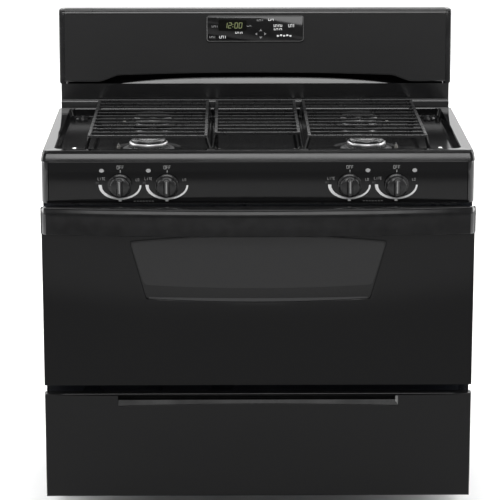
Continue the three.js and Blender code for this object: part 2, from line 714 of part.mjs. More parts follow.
// A full-width bowed grip: front wall, top flange and end blocks, open behind for the fingers.
function doorHandle() {
  const back = DOOR_FACE - FIT;
  const ends = -338;
  const wall = 9;
  const crown = ends - FRONT;
  const corner = 4;
  const plan = shapeOf([
    [HALF, back],
    [-HALF, back],
    [-HALF, ends + corner],
    ...bow([-HALF + corner, ends], [HALF - corner, ends], crown, 24),
    [HALF, ends + corner],
  ]);
  const pocketHalf = 440;
  const pocketEnd = ends - crown * (1 - (pocketHalf / HALF) ** 2) + wall;
  const pocket = shapeOf([
    [pocketHalf, back + 1],
    [-pocketHalf, back + 1],
    ...bow([-pocketHalf, pocketEnd], [pocketHalf, pocketEnd], pocketEnd - FRONT - wall, 20),
  ]);
  return cut(
    alongZ(plan, [HANDLE_BOTTOM, HANDLE_TOP]),
    alongZ(pocket, [HANDLE_BOTTOM - 1, HANDLE_TOP - wall]),
  );
}

// The arm is fixed in the door and turns on the receiver's pin.
function hingeArm(side) {
  const { x, y, z, pin } = HINGE;
  const outline = new THREE.Shape();
  outline.moveTo(y - 9, z);
  outline.absarc(y, z, 9, Math.PI, 2 * Math.PI);
  outline.lineTo(y - 2, z + 110);
  outline.lineTo(y - 18, z + 110);
  outline.holes.push(new THREE.Path().absarc(y, z, pin + 0.3, 0, 2 * Math.PI));
  return alongX(outline, mirrored(side, x - 2.5, x + 2.5));
}

function hingeReceiver(side) {
  const { x, y, z, pin } = HINGE;
  const outline = new THREE.Shape();
  outline.moveTo(y, z + 10);
  outline.absarc(y, z, 10, Math.PI / 2, 1.5 * Math.PI);
  outline.lineTo(-150, z - 10);
  outline.lineTo(-150, z + 10);
  const plate = alongX(outline, mirrored(side, x + 3.2, x + 7.2));
  const peg = rod(pin, mirrored(side, x - 5, x + 4), "x", 16).translate(0, y, z);
  return join(plate, peg);
}

function buildDoor() {
  add("door_outer_panel", doorOuterPanel(), GLOSS_ENAMEL);
  add("door_window", doorWindow(), WINDOW_GLASS);
  add("door_liner", doorLiner(), OVEN_ENAMEL);
  add("door_handle", doorHandle(), BLACK_PLASTIC);
  for (const [name, side] of Object.entries(SIDES)) {
    add(`hinge_arm_${name}`, hingeArm(side), ZINC_STEEL);
    add(`hinge_receiver_${name}`, hingeReceiver(side), ZINC_STEEL);
  }
}

// ---------------------------------------------------------------- drawer
const PULL = { half: 333, low: 302, high: 328 };

function drawerFront() {
  const sheet = 3;
  const back = -301;
  return cut(
    box(span(507), [DOOR_FACE, back], [DRAWER_BOTTOM, DRAWER_TOP]),
    box(span(507 - sheet), [DOOR_FACE + sheet, back + 1], [DRAWER_BOTTOM + sheet, DRAWER_TOP - sheet]),
    box(span(PULL.half), [DOOR_FACE - 1, DOOR_FACE + sheet + 1], [PULL.low, PULL.high]),
  );
}

// The finger recess behind the slot in the drawer front, with a sloping floor.
function drawerPull() {
  const front = DOOR_FACE + 3 + FIT;
  const pocket = shapeOf([
    [front - 1, PULL.low - 1],
    [front + 14, PULL.low + 18],
    [front + 14, PULL.high + 1],
    [front - 1, PULL.high],
  ]);
  const body = box(span(PULL.half + 6), [front, front + 17], [PULL.low - 6, DRAWER_TOP - 3 - FIT]);
  return cut(body, alongX(pocket, span(PULL.half)));
}

const RUNNER_Z = 126;

function drawerBox() {
  const [front, rear] = [-301 + FIT, 190];
  const tray = cut(
    box(span(468), [front, rear], [98, 288]),
    box(span(466), [front + 2, rear - 2], [100, 289]),
  );
  const runners = Object.values(SIDES).map((side) =>
    box(mirrored(side, 467, 490), [front + 10, rear - 2], [RUNNER_Z, RUNNER_Z + 3]),
  );
  return join(tray, ...runners);
}

// Stands on the base frame; its ledge carries the drawer's runner.
function drawerRail(side) {
  const ledge = RUNNER_Z - FIT;
  const flip = ([x, z]) => [side * x, z];
  const outline = [
    [476, BASE_TOP + FIT],
    [503, BASE_TOP + FIT],
    [503, RUNNER_Z + 30],
    [500.5, RUNNER_Z + 30],
    [500.5, ledge],
    [474, ledge],
    [474, ledge - 3],
    [500.5, ledge - 3],
    [500.5, BASE_TOP + 3 + FIT],
    [476, BASE_TOP + 3 + FIT],
  ].map(flip);
  return alongY(shapeOf(outline), [-190, 320]);
}

function buildDrawer() {
  add("drawer_front", drawerFront(), GLOSS_ENAMEL);
  add("drawer_pull", drawerPull(), BLACK_PLASTIC);
  add("drawer_box", drawerBox(), ZINC_STEEL);
  for (const [name, side] of Object.entries(SIDES)) {
    add(`drawer_rail_${name}`, drawerRail(side), ZINC_STEEL);
  }
}

buildCasing();
buildOven();
buildGasSupply();
buildCooktop();
buildControls();
buildBackguard();
buildDoor();
buildDrawer();

export default range;
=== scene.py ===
"""Looks for a black freestanding gas range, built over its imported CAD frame.

Lengths are in millimetres in the building functions, and become metres when a mesh is made.
+X is to the right, -Y is the front, +Z is up, and the floor is z = 0.
"""

from math import cos, dist, hypot, pi, radians, sin, sqrt

import bmesh
import bpy
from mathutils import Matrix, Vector


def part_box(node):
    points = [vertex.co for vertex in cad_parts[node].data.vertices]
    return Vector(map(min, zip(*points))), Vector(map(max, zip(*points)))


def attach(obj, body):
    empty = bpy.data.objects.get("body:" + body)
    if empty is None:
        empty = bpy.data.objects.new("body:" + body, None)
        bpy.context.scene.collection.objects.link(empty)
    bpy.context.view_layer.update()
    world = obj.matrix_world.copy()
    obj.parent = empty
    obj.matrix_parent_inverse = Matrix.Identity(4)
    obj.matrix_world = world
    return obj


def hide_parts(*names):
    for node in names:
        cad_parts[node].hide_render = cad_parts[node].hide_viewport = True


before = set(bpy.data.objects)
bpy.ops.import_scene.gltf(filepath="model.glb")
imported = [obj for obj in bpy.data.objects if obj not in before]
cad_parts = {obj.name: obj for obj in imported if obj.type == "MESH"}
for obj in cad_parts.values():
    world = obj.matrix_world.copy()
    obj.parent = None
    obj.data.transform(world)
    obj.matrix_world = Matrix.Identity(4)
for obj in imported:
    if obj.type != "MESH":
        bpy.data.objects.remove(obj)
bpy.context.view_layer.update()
MM = 0.001
SIDES = {"left": -1, "right": 1}


def limits(node):
    """The node's lowest and highest corners in millimetres."""
    low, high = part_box(node)
    return low / MM, high / MM


def box_centre(node):
    """The middle of the node's box in millimetres."""
    low, high = limits(node)
    return (low + high) / 2


def add_to_scene(name, data):
    """An object for a mesh, a light or a camera."""
    made = bpy.data.objects.new(name, data)
    bpy.context.scene.collection.objects.link(made)
    return made


# ---- materials
def join_math(tree, operation, first, second):
    """A math node on an output and either another output or a plain number."""
    node = tree.nodes.new("ShaderNodeMath")
    node.operation = operation
    tree.links.new(first, node.inputs[0])
    if isinstance(second, float):
        node.inputs[1].default_value = second
    else:
        tree.links.new(second, node.inputs[1])
    return node.outputs[0]


def join_remap(tree, value, low, high, start, end):
    """A value taken from the span start to end to the span low to high, and held there."""
    node = tree.nodes.new("ShaderNodeMapRange")
    for name, limit in (("From Min", start), ("From Max", end), ("To Min", low), ("To Max", high)):
        node.inputs[name].default_value = limit
    tree.links.new(value, node.inputs["Value"])
    return node.outputs["Result"]


def join_axes(tree, position):
    """The x, y and z of a position, as three outputs."""
    node = tree.nodes.new("ShaderNodeSeparateXYZ")
    tree.links.new(position, node.inputs["Vector"])
    return node.outputs["X"], node.outputs["Y"], node.outputs["Z"]


def tinted(base, factor, lift=0.0):
    """A colour made lighter or darker."""
    return tuple(channel * factor + lift for channel in base)


class Surface:
    """A Principled material whose colour, roughness and bump come from procedural textures."""

    def __init__(self, name, base, roughness, metallic=0.0, specular=0.5):
        self.material = bpy.data.materials.new(name)
        self.material.use_nodes = True
        self.tree = self.material.node_tree
        self.shader = self.tree.nodes["Principled BSDF"]
        self.base = base
        self.set("Base Color", (*base, 1.0))
        self.set("Roughness", roughness)
        self.set("Metallic", metallic)
        self.set("Specular IOR Level", specular)
        coordinates = self.tree.nodes.new("ShaderNodeTexCoord")
        self.position = coordinates.outputs["Object"]

    def set(self, socket, value):
        self.shader.inputs[socket].default_value = value

    def link(self, output, socket):
        self.tree.links.new(output, self.shader.inputs[socket])

    def noise(self, scale, detail=3.0, stretch=None):
        node = self.tree.nodes.new("ShaderNodeTexNoise")
        node.inputs["Scale"].default_value = scale
        node.inputs["Detail"].default_value = detail
        source = self.position
        if stretch:
            mapping = self.tree.nodes.new("ShaderNodeMapping")
            mapping.inputs["Scale"].default_value = stretch
            self.tree.links.new(source, mapping.inputs["Vector"])
            source = mapping.outputs["Vector"]
        self.tree.links.new(source, node.inputs["Vector"])
        return node.outputs["Fac"]

    def math(self, operation, first, second=0.0):
        return join_math(self.tree, operation, first, second)

    def remap(self, value, low, high, start=0.3, end=0.7):
        return join_remap(self.tree, value, low, high, start, end)

    def mix(self, factor, first, second):
        """A blend from first, a colour or an output, to second, a colour."""
        node = self.tree.nodes.new("ShaderNodeMix")
        node.data_type = "RGBA"
        self.tree.links.new(factor, node.inputs["Factor"])
        if isinstance(first, tuple):
            node.inputs["A"].default_value = (*first, 1.0)
        else:
            self.tree.links.new(first, node.inputs["A"])
        node.inputs["B"].default_value = (*second, 1.0)
        return node.outputs["Result"]

    def vary_color(self, value, other, start=0.35, end=0.65):
        factor = self.remap(value, 0.0, 1.0, start, end)
        self.link(self.mix(factor, self.base, other), "Base Color")

    def vary_roughness(self, value, low, high):
        self.link(self.remap(value, low, high), "Roughness")

    def bump(self, value, strength, distance):
        node = self.tree.nodes.new("ShaderNodeBump")
        node.inputs["Strength"].default_value = strength
        node.inputs["Distance"].default_value = distance
        self.tree.links.new(value, node.inputs["Height"])
        self.link(node.outputs["Normal"], "Normal")


def enamel(name, base, roughness, specular, peel=0.02):
    """Fired enamel: nearly flat, with a faint orange peel, dust specks and hazier patches."""
    surface = Surface(name, base, roughness, specular=specular)
    surface.vary_color(surface.noise(1400, 2), tinted(base, 1.5, 0.002), 0.52, 0.78)
    surface.vary_roughness(surface.noise(5, 4), roughness * 0.75, roughness * 1.4)
    surface.bump(surface.noise(170, 2), peel, 0.0004)
    return surface.material


def cast_enamel(name, base, roughness, specular=0.5):
    """Enamel over cast iron: a fine pebbled skin with chalky high spots."""
    surface = Surface(name, base, roughness, specular=specular)
    surface.vary_color(surface.noise(260, 4), tinted(base, 2.2, 0.004), 0.48, 0.75)
    surface.vary_roughness(surface.noise(60, 4), roughness * 0.7, roughness * 1.35)
    surface.bump(surface.noise(900, 3), 0.12, 0.0004)
    return surface.material


def speckled_enamel(name, base, specks):
    """Dark oven enamel with pale specks."""
    surface = Surface(name, base, 0.28)
    surface.vary_color(surface.noise(1100, 1), specks, 0.66, 0.72)
    surface.vary_roughness(surface.noise(9, 4), 0.2, 0.42)
    surface.bump(surface.noise(240, 2), 0.05, 0.0004)
    return surface.material


def moulded_plastic(name, base, roughness, specular=0.5):
    """Black plastic from a mould: a fine grain and soft, uneven gloss."""
    surface = Surface(name, base, roughness, specular=specular)
    surface.vary_color(surface.noise(35, 4), tinted(base, 1.4, 0.002))
    surface.vary_roughness(surface.noise(18, 5), roughness * 0.8, roughness * 1.3)
    surface.bump(surface.noise(1600, 2), 0.03, 0.0002)
    return surface.material


def cast_aluminium(name, base, darker):
    """Cast metal, clouded with a darker tone."""
    surface = Surface(name, base, 0.38, metallic=1.0)
    surface.vary_color(surface.noise(22, 5), darker)
    surface.vary_roughness(surface.noise(70, 4), 0.28, 0.5)
    surface.bump(surface.noise(1300, 3), 0.1, 0.0003)
    return surface.material


def rolled_steel(name, base, roughness):
    """Plated sheet or tube with a drawn grain and a cloudy spangle."""
    surface = Surface(name, base, roughness, metallic=1.0)
    grain = (1.0, 1.0, 30.0)
    surface.vary_color(surface.noise(90, 3), tinted(base, 0.78))
    surface.vary_roughness(surface.noise(40, 3, grain), roughness * 0.75, roughness * 1.35)
    surface.bump(surface.noise(60, 3, grain), 0.06, 0.0003)
    return surface.material


# In metres, as texture coordinates are: the beads' spacing, and how far out the screws stand.
BEAD_PITCH = 0.16
SCREW_COLUMN = 0.494


def beaded_steel(name, base, roughness):
    """Plated sheet with pressed beads across it and a row of screw heads down each side."""
    surface = Surface(name, base, roughness, metallic=1.0)
    surface.vary_color(surface.noise(90, 3), tinted(base, 0.8))
    surface.vary_roughness(surface.noise(12, 4), roughness * 0.8, roughness * 1.3)
    x, _, z = join_axes(surface.tree, surface.position)
    height = surface.math("PINGPONG", z, BEAD_PITCH / 2)
    bead = surface.remap(height, 0.0, 1.0, 0.07, 0.078)
    inwards = surface.math("SUBTRACT", surface.math("ABSOLUTE", x), SCREW_COLUMN)
    across = surface.math("MULTIPLY", inwards, inwards)
    up = surface.math("MULTIPLY", height, height)
    reach = surface.math("SQRT", surface.math("ADD", across, up))
    screw = surface.remap(reach, 1.0, 0.0, 0.0046, 0.0056)
    surface.bump(surface.math("ADD", bead, screw), 1.0, 0.005)
    return surface.material


def plain_metal(name, base, roughness):
    """Smooth plated or turned metal."""
    surface = Surface(name, base, roughness, metallic=1.0)
    surface.vary_roughness(surface.noise(120, 4), roughness * 0.7, roughness * 1.5)
    surface.bump(surface.noise(700, 2), 0.05, 0.0002)
    return surface.material


def printed_ink(name, base, glow=0.0):
    """Screen-printed ink, slightly uneven in its cover."""
    surface = Surface(name, base, 0.45)
    surface.vary_color(surface.noise(900, 3), tinted(base, 0.8))
    if glow:
        surface.set("Emission Color", (*base, 1.0))
        surface.set("Emission Strength", glow)
    return surface.material


def circuit_board(name):
    """Green board with faint tracks."""
    surface = Surface(name, (0.012, 0.07, 0.035), 0.5)
    surface.vary_color(surface.noise(380, 1, (1.0, 0.2, 1.0)), (0.03, 0.15, 0.07))
    surface.bump(surface.noise(500, 1), 0.1, 0.0004)
    return surface.material


def near_black(level):
    """A very dark grey, faintly cool."""
    return (level, level, level + 0.0003)


ENAMEL = enamel("gloss_enamel", near_black(0.0035), 0.07, 0.22)
RIM_ENAMEL = enamel("cooktop_rim_enamel", near_black(0.004), 0.03, 1.0, peel=0.004)
PAN_ENAMEL = enamel("cooktop_pan_enamel", (0.0018, 0.0018, 0.002), 0.12, 0.16)
TRIM_ENAMEL = enamel("vent_trim_enamel", near_black(0.005), 0.14, 0.55)
LIP_ENAMEL = enamel("cooktop_lip_enamel", near_black(0.006), 0.2, 0.42)
BAND_ENAMEL = enamel("backguard_band_enamel", near_black(0.008), 0.24, 0.45)
COVER_ENAMEL = enamel("backguard_cover_enamel", near_black(0.008), 0.3, 0.04)
PANEL_ENAMEL = enamel("control_panel_enamel", near_black(0.004), 0.09, 0.3)
OVEN_ENAMEL = speckled_enamel("speckled_oven_enamel", (0.016, 0.018, 0.024), (0.19, 0.2, 0.22))
DOOR_LINER_ENAMEL = speckled_enamel("door_liner_enamel", (0.004, 0.0044, 0.0052), (0.035, 0.037, 0.04))
GRATE_ENAMEL = cast_enamel("grate_enamel", near_black(0.006), 0.3, 0.4)
CAP_ENAMEL = cast_enamel("burner_cap_enamel", (0.006, 0.006, 0.0062), 0.22)
GUARD_ENAMEL = enamel("backguard_enamel", near_black(0.008), 0.1, 0.7)
GUARD_CHEEK = moulded_plastic("guard_cheek_plastic", near_black(0.006), 0.18, 0.35)
CHEEK_PLASTIC = moulded_plastic("cheek_plastic", near_black(0.006), 0.12, 0.9)
HANDLE_PLASTIC = moulded_plastic("handle_plastic", near_black(0.006), 0.17, 0.2)
DRAWER_ENAMEL = enamel("drawer_enamel", near_black(0.0055), 0.09, 0.3)
PULL_PLASTIC = moulded_plastic("pull_plastic", near_black(0.007), 0.3, 0.13)
# Near-black painted shade for the inside of the drawer's slot.
PULL_SHADE = moulded_plastic("pull_shade_plastic", (0.0015, 0.0015, 0.0016), 0.5, 0.05)
# A painted highlight inside the slot's right end.
PULL_END_HIGHLIGHT = moulded_plastic("pull_end_painted_highlight", (0.2, 0.2, 0.2), 0.25, 0.6)
KNOB_PLASTIC = moulded_plastic("knob_plastic", near_black(0.006), 0.2)
FASCIA_GLOSS = moulded_plastic("fascia_gloss", (0.004, 0.004, 0.0042), 0.08, 0.3)
LENS_BLACK = moulded_plastic("display_lens", (0.0015, 0.0016, 0.001), 0.05, 0.15)
WINDOW_GLASS = enamel("window_glass", (0.011, 0.011, 0.0114), 0.05, 0.34, peel=0.004)
WINDOW_BAND = enamel("window_band", near_black(0.007), 0.05, 0.27, peel=0.004)
# A painted highlight for the window's foot.
WINDOW_FOOT_HIGHLIGHT = enamel("window_foot_painted_highlight", (0.03, 0.03, 0.031), 0.2, 0.4)
ALUMINIUM = cast_aluminium("cast_aluminium", (0.62, 0.62, 0.63), (0.46, 0.455, 0.45))
DULL_ALUMINIUM = cast_aluminium("stained_aluminium", (0.11, 0.11, 0.112), (0.05, 0.05, 0.05))
ZINC = rolled_steel("zinc_plated_steel", (0.36, 0.365, 0.37), 0.36)
REAR_STEEL = beaded_steel("rear_cover_steel", (0.2, 0.203, 0.207), 0.42)
CHROME = plain_metal("bright_plated_wire", (0.75, 0.75, 0.76), 0.14)
BRIGHT_STEEL = plain_metal("bright_screw", (0.8, 0.8, 0.8), 0.16)
BRASS = plain_metal("brass", (0.6, 0.43, 0.17), 0.25)
WHITE_INK = printed_ink("white_ink", (0.85, 0.85, 0.85))
DOT_INK = printed_ink("dot_ink", (0.36, 0.36, 0.36))
GREY_INK = printed_ink("grey_ink", (0.24, 0.24, 0.24))
DIM_INK = printed_ink("dim_ink", (0.07, 0.07, 0.07))
DIGIT_GLOW = printed_ink("display_segments", (0.13, 0.15, 0.06), glow=0.35)
CERAMIC = moulded_plastic("igniter_ceramic", (0.16, 0.155, 0.145), 0.35)
BOARD = circuit_board("circuit_board")


# ---- mesh helpers
def face_outwards(mesh):
    """Turns every face of a closed form to look outwards."""
    work = bmesh.new()
    work.from_mesh(mesh)
    bmesh.ops.recalc_face_normals(work, faces=work.faces)
    work.to_mesh(mesh)
    work.free()


def rounded(made, width, segments=3, angle=35):
    """Rounds the sharp edges by a width in millimetres and keeps flat faces flat."""
    bevel = made.modifiers.new("rounded edges", "BEVEL")
    bevel.width = width * MM
    bevel.segments = segments
    bevel.limit_method = "ANGLE"
    bevel.angle_limit = radians(angle)
    bevel.harden_normals = True
    bevel.use_clamp_overlap = True


def evened(made):
    """Shades broad faces flat, so only the narrow turned edges beside them look curved."""
    modifier = made.modifiers.new("flat broad faces", "WEIGHTED_NORMAL")
    modifier.keep_sharp = True
    return made


BLOCK_FACES = [(0, 1, 3, 2), (4, 6, 7, 5), (0, 4, 5, 1), (2, 3, 7, 6), (0, 2, 6, 4), (1, 5, 7, 3)]


class Shape:
    """Points and faces gathered from several simple forms into one mesh."""

    def __init__(self):
        self.points = []
        self.faces = []
        self.slots = []

    def add(self, points, faces, slot=0):
        start = len(self.points)
        self.points += [tuple(p) for p in points]
        self.faces += [tuple(i + start for i in face) for face in faces]
        self.slots += [slot] * len(faces)

    def block(self, x, y, z, slot=0):
        """A box from its low and high limits."""
        corners = [(a, b, c) for a in x for b in y for c in z]
        self.add(corners, BLOCK_FACES, slot)

    def loft(self, rings, slot=0, capped=True):
        """A skin over closed rings with equal numbers of points, capped at both ends or open."""
        count = len(rings[0])
        points = [p for ring in rings for p in ring]
        faces = []
        for r in range(len(rings) - 1):
            for i in range(count):
                j = (i + 1) % count
                a, b = r * count, (r + 1) * count
                faces.append((a + i, a + j, b + j, b + i))
        if capped:
            last = (len(rings) - 1) * count
            faces.append(tuple(reversed(range(count))))
            faces.append(tuple(range(last, last + count)))
        self.add(points, faces, slot)

    def turned(self, profile, centre, steps=48, axis="z", slot=0):
        """A solid of revolution from (radius, height) points, about a line through centre."""
        rings = []
        for radius, height in profile:
            ring = []
            for i in range(steps):
                angle = 2 * pi * i / steps
                a, b = radius * cos(angle), radius * sin(angle)
                local = (a, b, height) if axis == "z" else (a, -height, b)
                ring.append(tuple(c + l for c, l in zip(centre, local)))
            rings.append(ring)
        self.loft(rings, slot)

    def grid(self, columns, rows, place, slot=0):
        """A sheet whose point for each column and row value comes from place(column, row)."""
        points = [place(u, v) for v in rows for u in columns]
        wide = len(columns)
        faces = []
        for r in range(len(rows) - 1):
            for c in range(wide - 1):
                k = r * wide + c
                faces.append((k, k + 1, k + wide + 1, k + wide))
        self.add(points, faces, slot)

    def make(self, name, finish, body="cabinet", smooth=True):
        """The mesh object, riding on its body. A finish is one material, or one for each slot."""
        mesh = bpy.data.meshes.new(name)
        mesh.from_pydata([tuple(c * MM for c in p) for p in self.points], [], self.faces)
        for material in finish if isinstance(finish, list) else [finish]:
            mesh.materials.append(material)
        mesh.polygons.foreach_set("material_index", self.slots)
        mesh.polygons.foreach_set("use_smooth", [smooth] * len(mesh.polygons))
        mesh.validate()
        if smooth:
            face_outwards(mesh)
            mesh.set_sharp_from_angle(angle=radians(35))
        made = add_to_scene(name, mesh)
        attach(made, body)
        return made


def spread(low, high, count):
    """Evenly spaced values, both ends included."""
    return [low + (high - low) * i / (count - 1) for i in range(count)]


def ease(value, low, high):
    """0 below low, 1 above high, and a smooth step between."""
    t = min(max((value - low) / (high - low), 0.0), 1.0)
    return t * t * (3 - 2 * t)


def arc(cx, cy, rx, ry, start, end, steps):
    """Points on an ellipse, with angles in degrees anticlockwise from +x."""
    angles = [radians(start + (end - start) * i / steps) for i in range(steps + 1)]
    return [(cx + rx * cos(a), cy + ry * sin(a)) for a in angles]


def rounded_rectangle(half, low, high, radius, steps=7):
    """Points round a rectangle centred on x = 0, anticlockwise from its lower right corner."""
    line = []
    for cx, cy, start in ((half - radius, low + radius, -90), (half - radius, high - radius, 0),
                          (radius - half, high - radius, 90), (radius - half, low + radius, 180)):
        line += arc(cx, cy, radius, radius, start, start + 90, steps)
    return line


def level_ring(half, y_low, y_high, radius, z):
    """A rounded rectangle lying level at z."""
    return [(x, y, z) for x, y in rounded_rectangle(half, y_low, y_high, radius, 10)]


def upright(outline, y):
    """An (x, z) outline standing at y."""
    return [(x, y, z) for x, z in outline]


def section_at(x, outline):
    """A (y, z) outline standing at x."""
    return [(x, y, z) for y, z in outline]


# ---- cooktop
WELL = {"half": 476, "front": -262, "rear": 277, "floor": 893.0}
TOP = limits("cooktop")[1].z
CORNERS = ("front_left", "front_right", "rear_left", "rear_right")
BURNERS = {corner: box_centre(f"burner_base_{corner}").xy for corner in CORNERS}
TRAY = {"half": 116, "y": 40, "reach": 200, "corner": 30}
DISH = 84
BOSS = (441, 246)
# The backguard's front panel: where its foot stands, and how far it runs up its slope.
GUARD = {"y": 297.0, "z": 976.0, "height": 178.5}
# The panel's lower edge, by its height over the foot.
ARCH = {"gap": 4.5, "half": 403.0, "shoulder": 58.0, "lift": 14.0, "rise": 8.5}
# The light slope that shows under the arch.
CRESCENT = {"half": 352.0, "rise": 17.6}
# The lip's section: how far in from the cooktop's edge, and how far above its top.
LIP = [(0.0, -24.0), (0.1, -23.6), (0.8, -20.0), (2.5, -14.0), (4.2, -9.0), (5.8, -5.6), (7.6, -3.3),
       (10.3, 0.0), (12.4, 0.0)]


def build_cooktop_shell():
    """The leaning front lip, the flat rims and the steep sides of the well, as one skin."""
    low, high = limits("cooktop")
    lip = []
    for inset, rise in LIP:
        side = inset * 0.5
        lip.append(level_ring(high.x - side, low.y + inset, high.y - side * 0.4, 12, TOP + rise))
    well = [well_ring(inset, TOP - drop) for inset, drop in ((-3, 0), (-1.2, 0.2), (0, 0.9), (0.8, 2.4))]
    foot = ((4.5, 3.6), (5.8, 1.4), (8, 0.3), (11, 0))
    well += [well_ring(inset, WELL["floor"] + rise) for inset, rise in foot]
    skin = Shape()
    skin.loft(lip, slot=1, capped=False)
    skin.loft([lip[-1]] + well[:3], slot=0, capped=False)
    skin.loft(well[2:], slot=2, capped=False)
    made = skin.make("cooktop_shell", [RIM_ENAMEL, LIP_ENAMEL, PAN_ENAMEL])
    darken_front_rim(made.data)
    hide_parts("cooktop")


def darken_front_rim(mesh):
    """Gives the rim in front of the well, short of its corners, the pan's darker enamel."""
    for face in mesh.polygons:
        spot = face.center / MM
        if face.material_index == 0 and spot.y < WELL["front"] and abs(spot.x) < 470:
            face.material_index = 2


def well_ring(inset, z):
    """A ring of the well's wall, which is nearly upright behind."""
    rear = WELL["rear"] - inset * 0.2
    return level_ring(WELL["half"] - inset, WELL["front"] + inset, rear, 16 - inset * 0.5, z)


def floor_height(x, y):
    """The well's floor: a dish round each burner, a pressed tray, and a boss in each rear corner."""
    z = WELL["floor"]
    for bx, by in BURNERS.values():
        reach = hypot(x - bx, y - by)
        z += 1.6 * (1 - ease(abs(reach - DISH), 0, 7)) - 0.8 * (1 - ease(reach, DISH - 14, DISH - 2))
    beside, beyond = abs(x) - TRAY["half"], abs(y - TRAY["y"]) - TRAY["reach"]
    corner = TRAY["corner"]
    rounding = hypot(max(beside + corner, 0), max(beyond + corner, 0)) - corner
    z += 2.4 * (1 - ease(abs(max(beside, beyond, rounding)), 0, 5))
    boss = hypot(abs(x) - BOSS[0], y - BOSS[1])
    return z + 7.0 * (1 - ease(boss, 14, 24)) - 2.0 * (1 - ease(boss, 8, 11))


def build_cooktop_floor():
    """The pressed floor of the well, up to the foot of its walls."""
    edge = 9
    columns = spread(edge - WELL["half"], WELL["half"] - edge, 234)
    rows = spread(WELL["front"] + edge, WELL["rear"] - 1.4, 133)
    sheet = Shape()
    sheet.grid(columns, rows, lambda x, y: (x, y, floor_height(x, y)))
    made = sheet.make("cooktop_floor", PAN_ENAMEL)


def build_cooktop_screws():
    """Pan-head screws near the well's corners: bright in front, dark and sunk behind."""
    heads = Shape()
    profile = [(0, -1), (7.5, -1), (7.5, 0.4), (5.2, 0.6), (5.0, 1.8), (3.6, 3.0), (0, 3.5)]
    for slot, (reach, y, z) in enumerate(((437, -160, 893.6), (*BOSS, 898.2))):
        for x in (-reach, reach):
            heads.turned(profile, (x, y, z), steps=28, slot=slot)
            heads.block((x - 3.4, x + 3.4), (y - 0.45, y + 0.45), (z + 2.6, z + 3.7), slot=slot)
    made = heads.make("cooktop_screws", [BRIGHT_STEEL, CAP_ENAMEL])


def build_burner(name, x, y):
    """A dark flange on the pan, the ported head that stands on it with its neck painted dark as shade, its
    cap and its igniter.
    """
    floor = WELL["floor"]
    base = Shape()
    flange = [(0, -24), (30, -24), (30, 0.4), (61.5, 0.4), (62, 1.2), (61, 2.4), (56, 3.0), (52, 3.6),
              (51, 5.6), (49.4, 6.2), (48, 5.6), (47, 4.2), (0, 4.2)]
    # Painted shade: the head's neck, under its overhanging lip, takes the pan's near-black enamel.
    neck = [(0, 4), (42.6, 4), (42.0, 6.0), (41.6, 9.4), (0, 9.6)]
    lip = [(0, 9.4), (42.4, 9.4), (45.0, 10.2), (46.4, 12.2), (46.6, 15.0), (45.8, 17.2), (44.2, 18.3),
           (0, 18.4)]
    for slot, profile in ((2, flange), (1, neck), (0, lip)):
        base.turned(profile, (x, y, floor), steps=72, slot=slot)
    ports = 32
    for i in range(ports):
        angle = 2 * pi * (i + 0.5) / ports
        across = 1.5 / 42.0
        points = [(x + r * cos(angle + a), y + r * sin(angle + a), floor + z)
                  for r in (40.0, 42.9) for a in (-across, across) for z in (5.8, 9.0)]
        base.add(points, BLOCK_FACES)
    head = base.make(f"burner_head_{name}", [ALUMINIUM, PAN_ENAMEL, DULL_ALUMINIUM])
    rounded(head, 0.4, 2, 40)
    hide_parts(f"burner_base_{name}")

    cap = Shape()
    cap.turned([(0, 18.8), (41.0, 18.8), (42.2, 19.4), (42.5, 20.6), (42.3, 22.2), (41.2, 23.8), (38.0, 25.2),
                (30, 25.9), (29, 25.6), (27.6, 25.6), (26.5, 26.0), (0, 26.0)], (x, y, floor), steps=72)
    lid = cap.make(f"burner_lid_{name}", CAP_ENAMEL)
    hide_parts(f"burner_cap_{name}")

    igniter = Shape()
    outward = 1 if x > 0 else -1
    spot = (x + outward * 72, y + 4, floor)
    igniter.turned([(0, 0.2), (4.2, 0.2), (4.2, 5.0), (3.2, 6.0), (3.2, 9.0), (0, 9.2)], spot, steps=20)
    igniter.turned([(0, 9.0), (1.2, 9.0), (1.2, 13.5), (0, 13.8)], spot, steps=12, slot=1)
    stud = igniter.make(f"igniter_{name}", [CERAMIC, ZINC])


def bar_between(shape, start, end, width, height):
    """A rectangular bar from start to end, its top face upwards."""
    start, end = Vector(start), Vector(end)
    along = (end - start).normalized()
    across = along.cross(Vector((0, 0, 1)))
    if across.length < 0.05:
        across = Vector((1, 0, 0))
    across.normalize()
    up = across.cross(along).normalized()
    corners = []
    for centre in (start, end):
        for a, b in ((-1, -1), (1, -1), (1, 1), (-1, 1)):
            corners.append(centre + across * a * width / 2 + up * b * height / 2)
    shape.loft([corners[:4], corners[4:]])


def build_grate(node, body, bars, lean):
    """Side rails on splayed legs, with slim round-topped bars from side to side."""
    low, high = limits(node)
    rail = 7.0
    grate = Shape()
    middle = high.z - rail / 2
    for side, x in ((-1, low.x + rail / 2), (1, high.x - rail / 2)):
        bar_between(grate, (x, low.y + 2, middle), (x, high.y - 2, middle), rail, rail)
        for y, back in ((low.y + rail / 2, 12), (high.y - 24, -4)):
            foot = (x + side * lean, y + back, low.z)
            bar_between(grate, (x, y, middle), (foot[0], foot[1], low.z + 3), rail * 0.9, rail * 0.9)
            grate.turned([(0, 0), (5.4, 0), (6, 0.8), (5.6, 4.2), (4, 5.5), (0, 5.5)], foot, steps=16)
    for i, y in enumerate(spread(low.y + rail / 2, high.y - rail / 2, bars)):
        width = rail if i in (0, bars - 1) else 5.0
        height = width * 0.92
        level = high.z - 0.3 - height / 2
        bar_between(grate, (low.x + 3, y, level), (high.x - 3, y, level), width, height)
    made = grate.make(node + "_casting", GRATE_ENAMEL, body)
    rounded(made, 1.5, 3, 40)
    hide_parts(node)


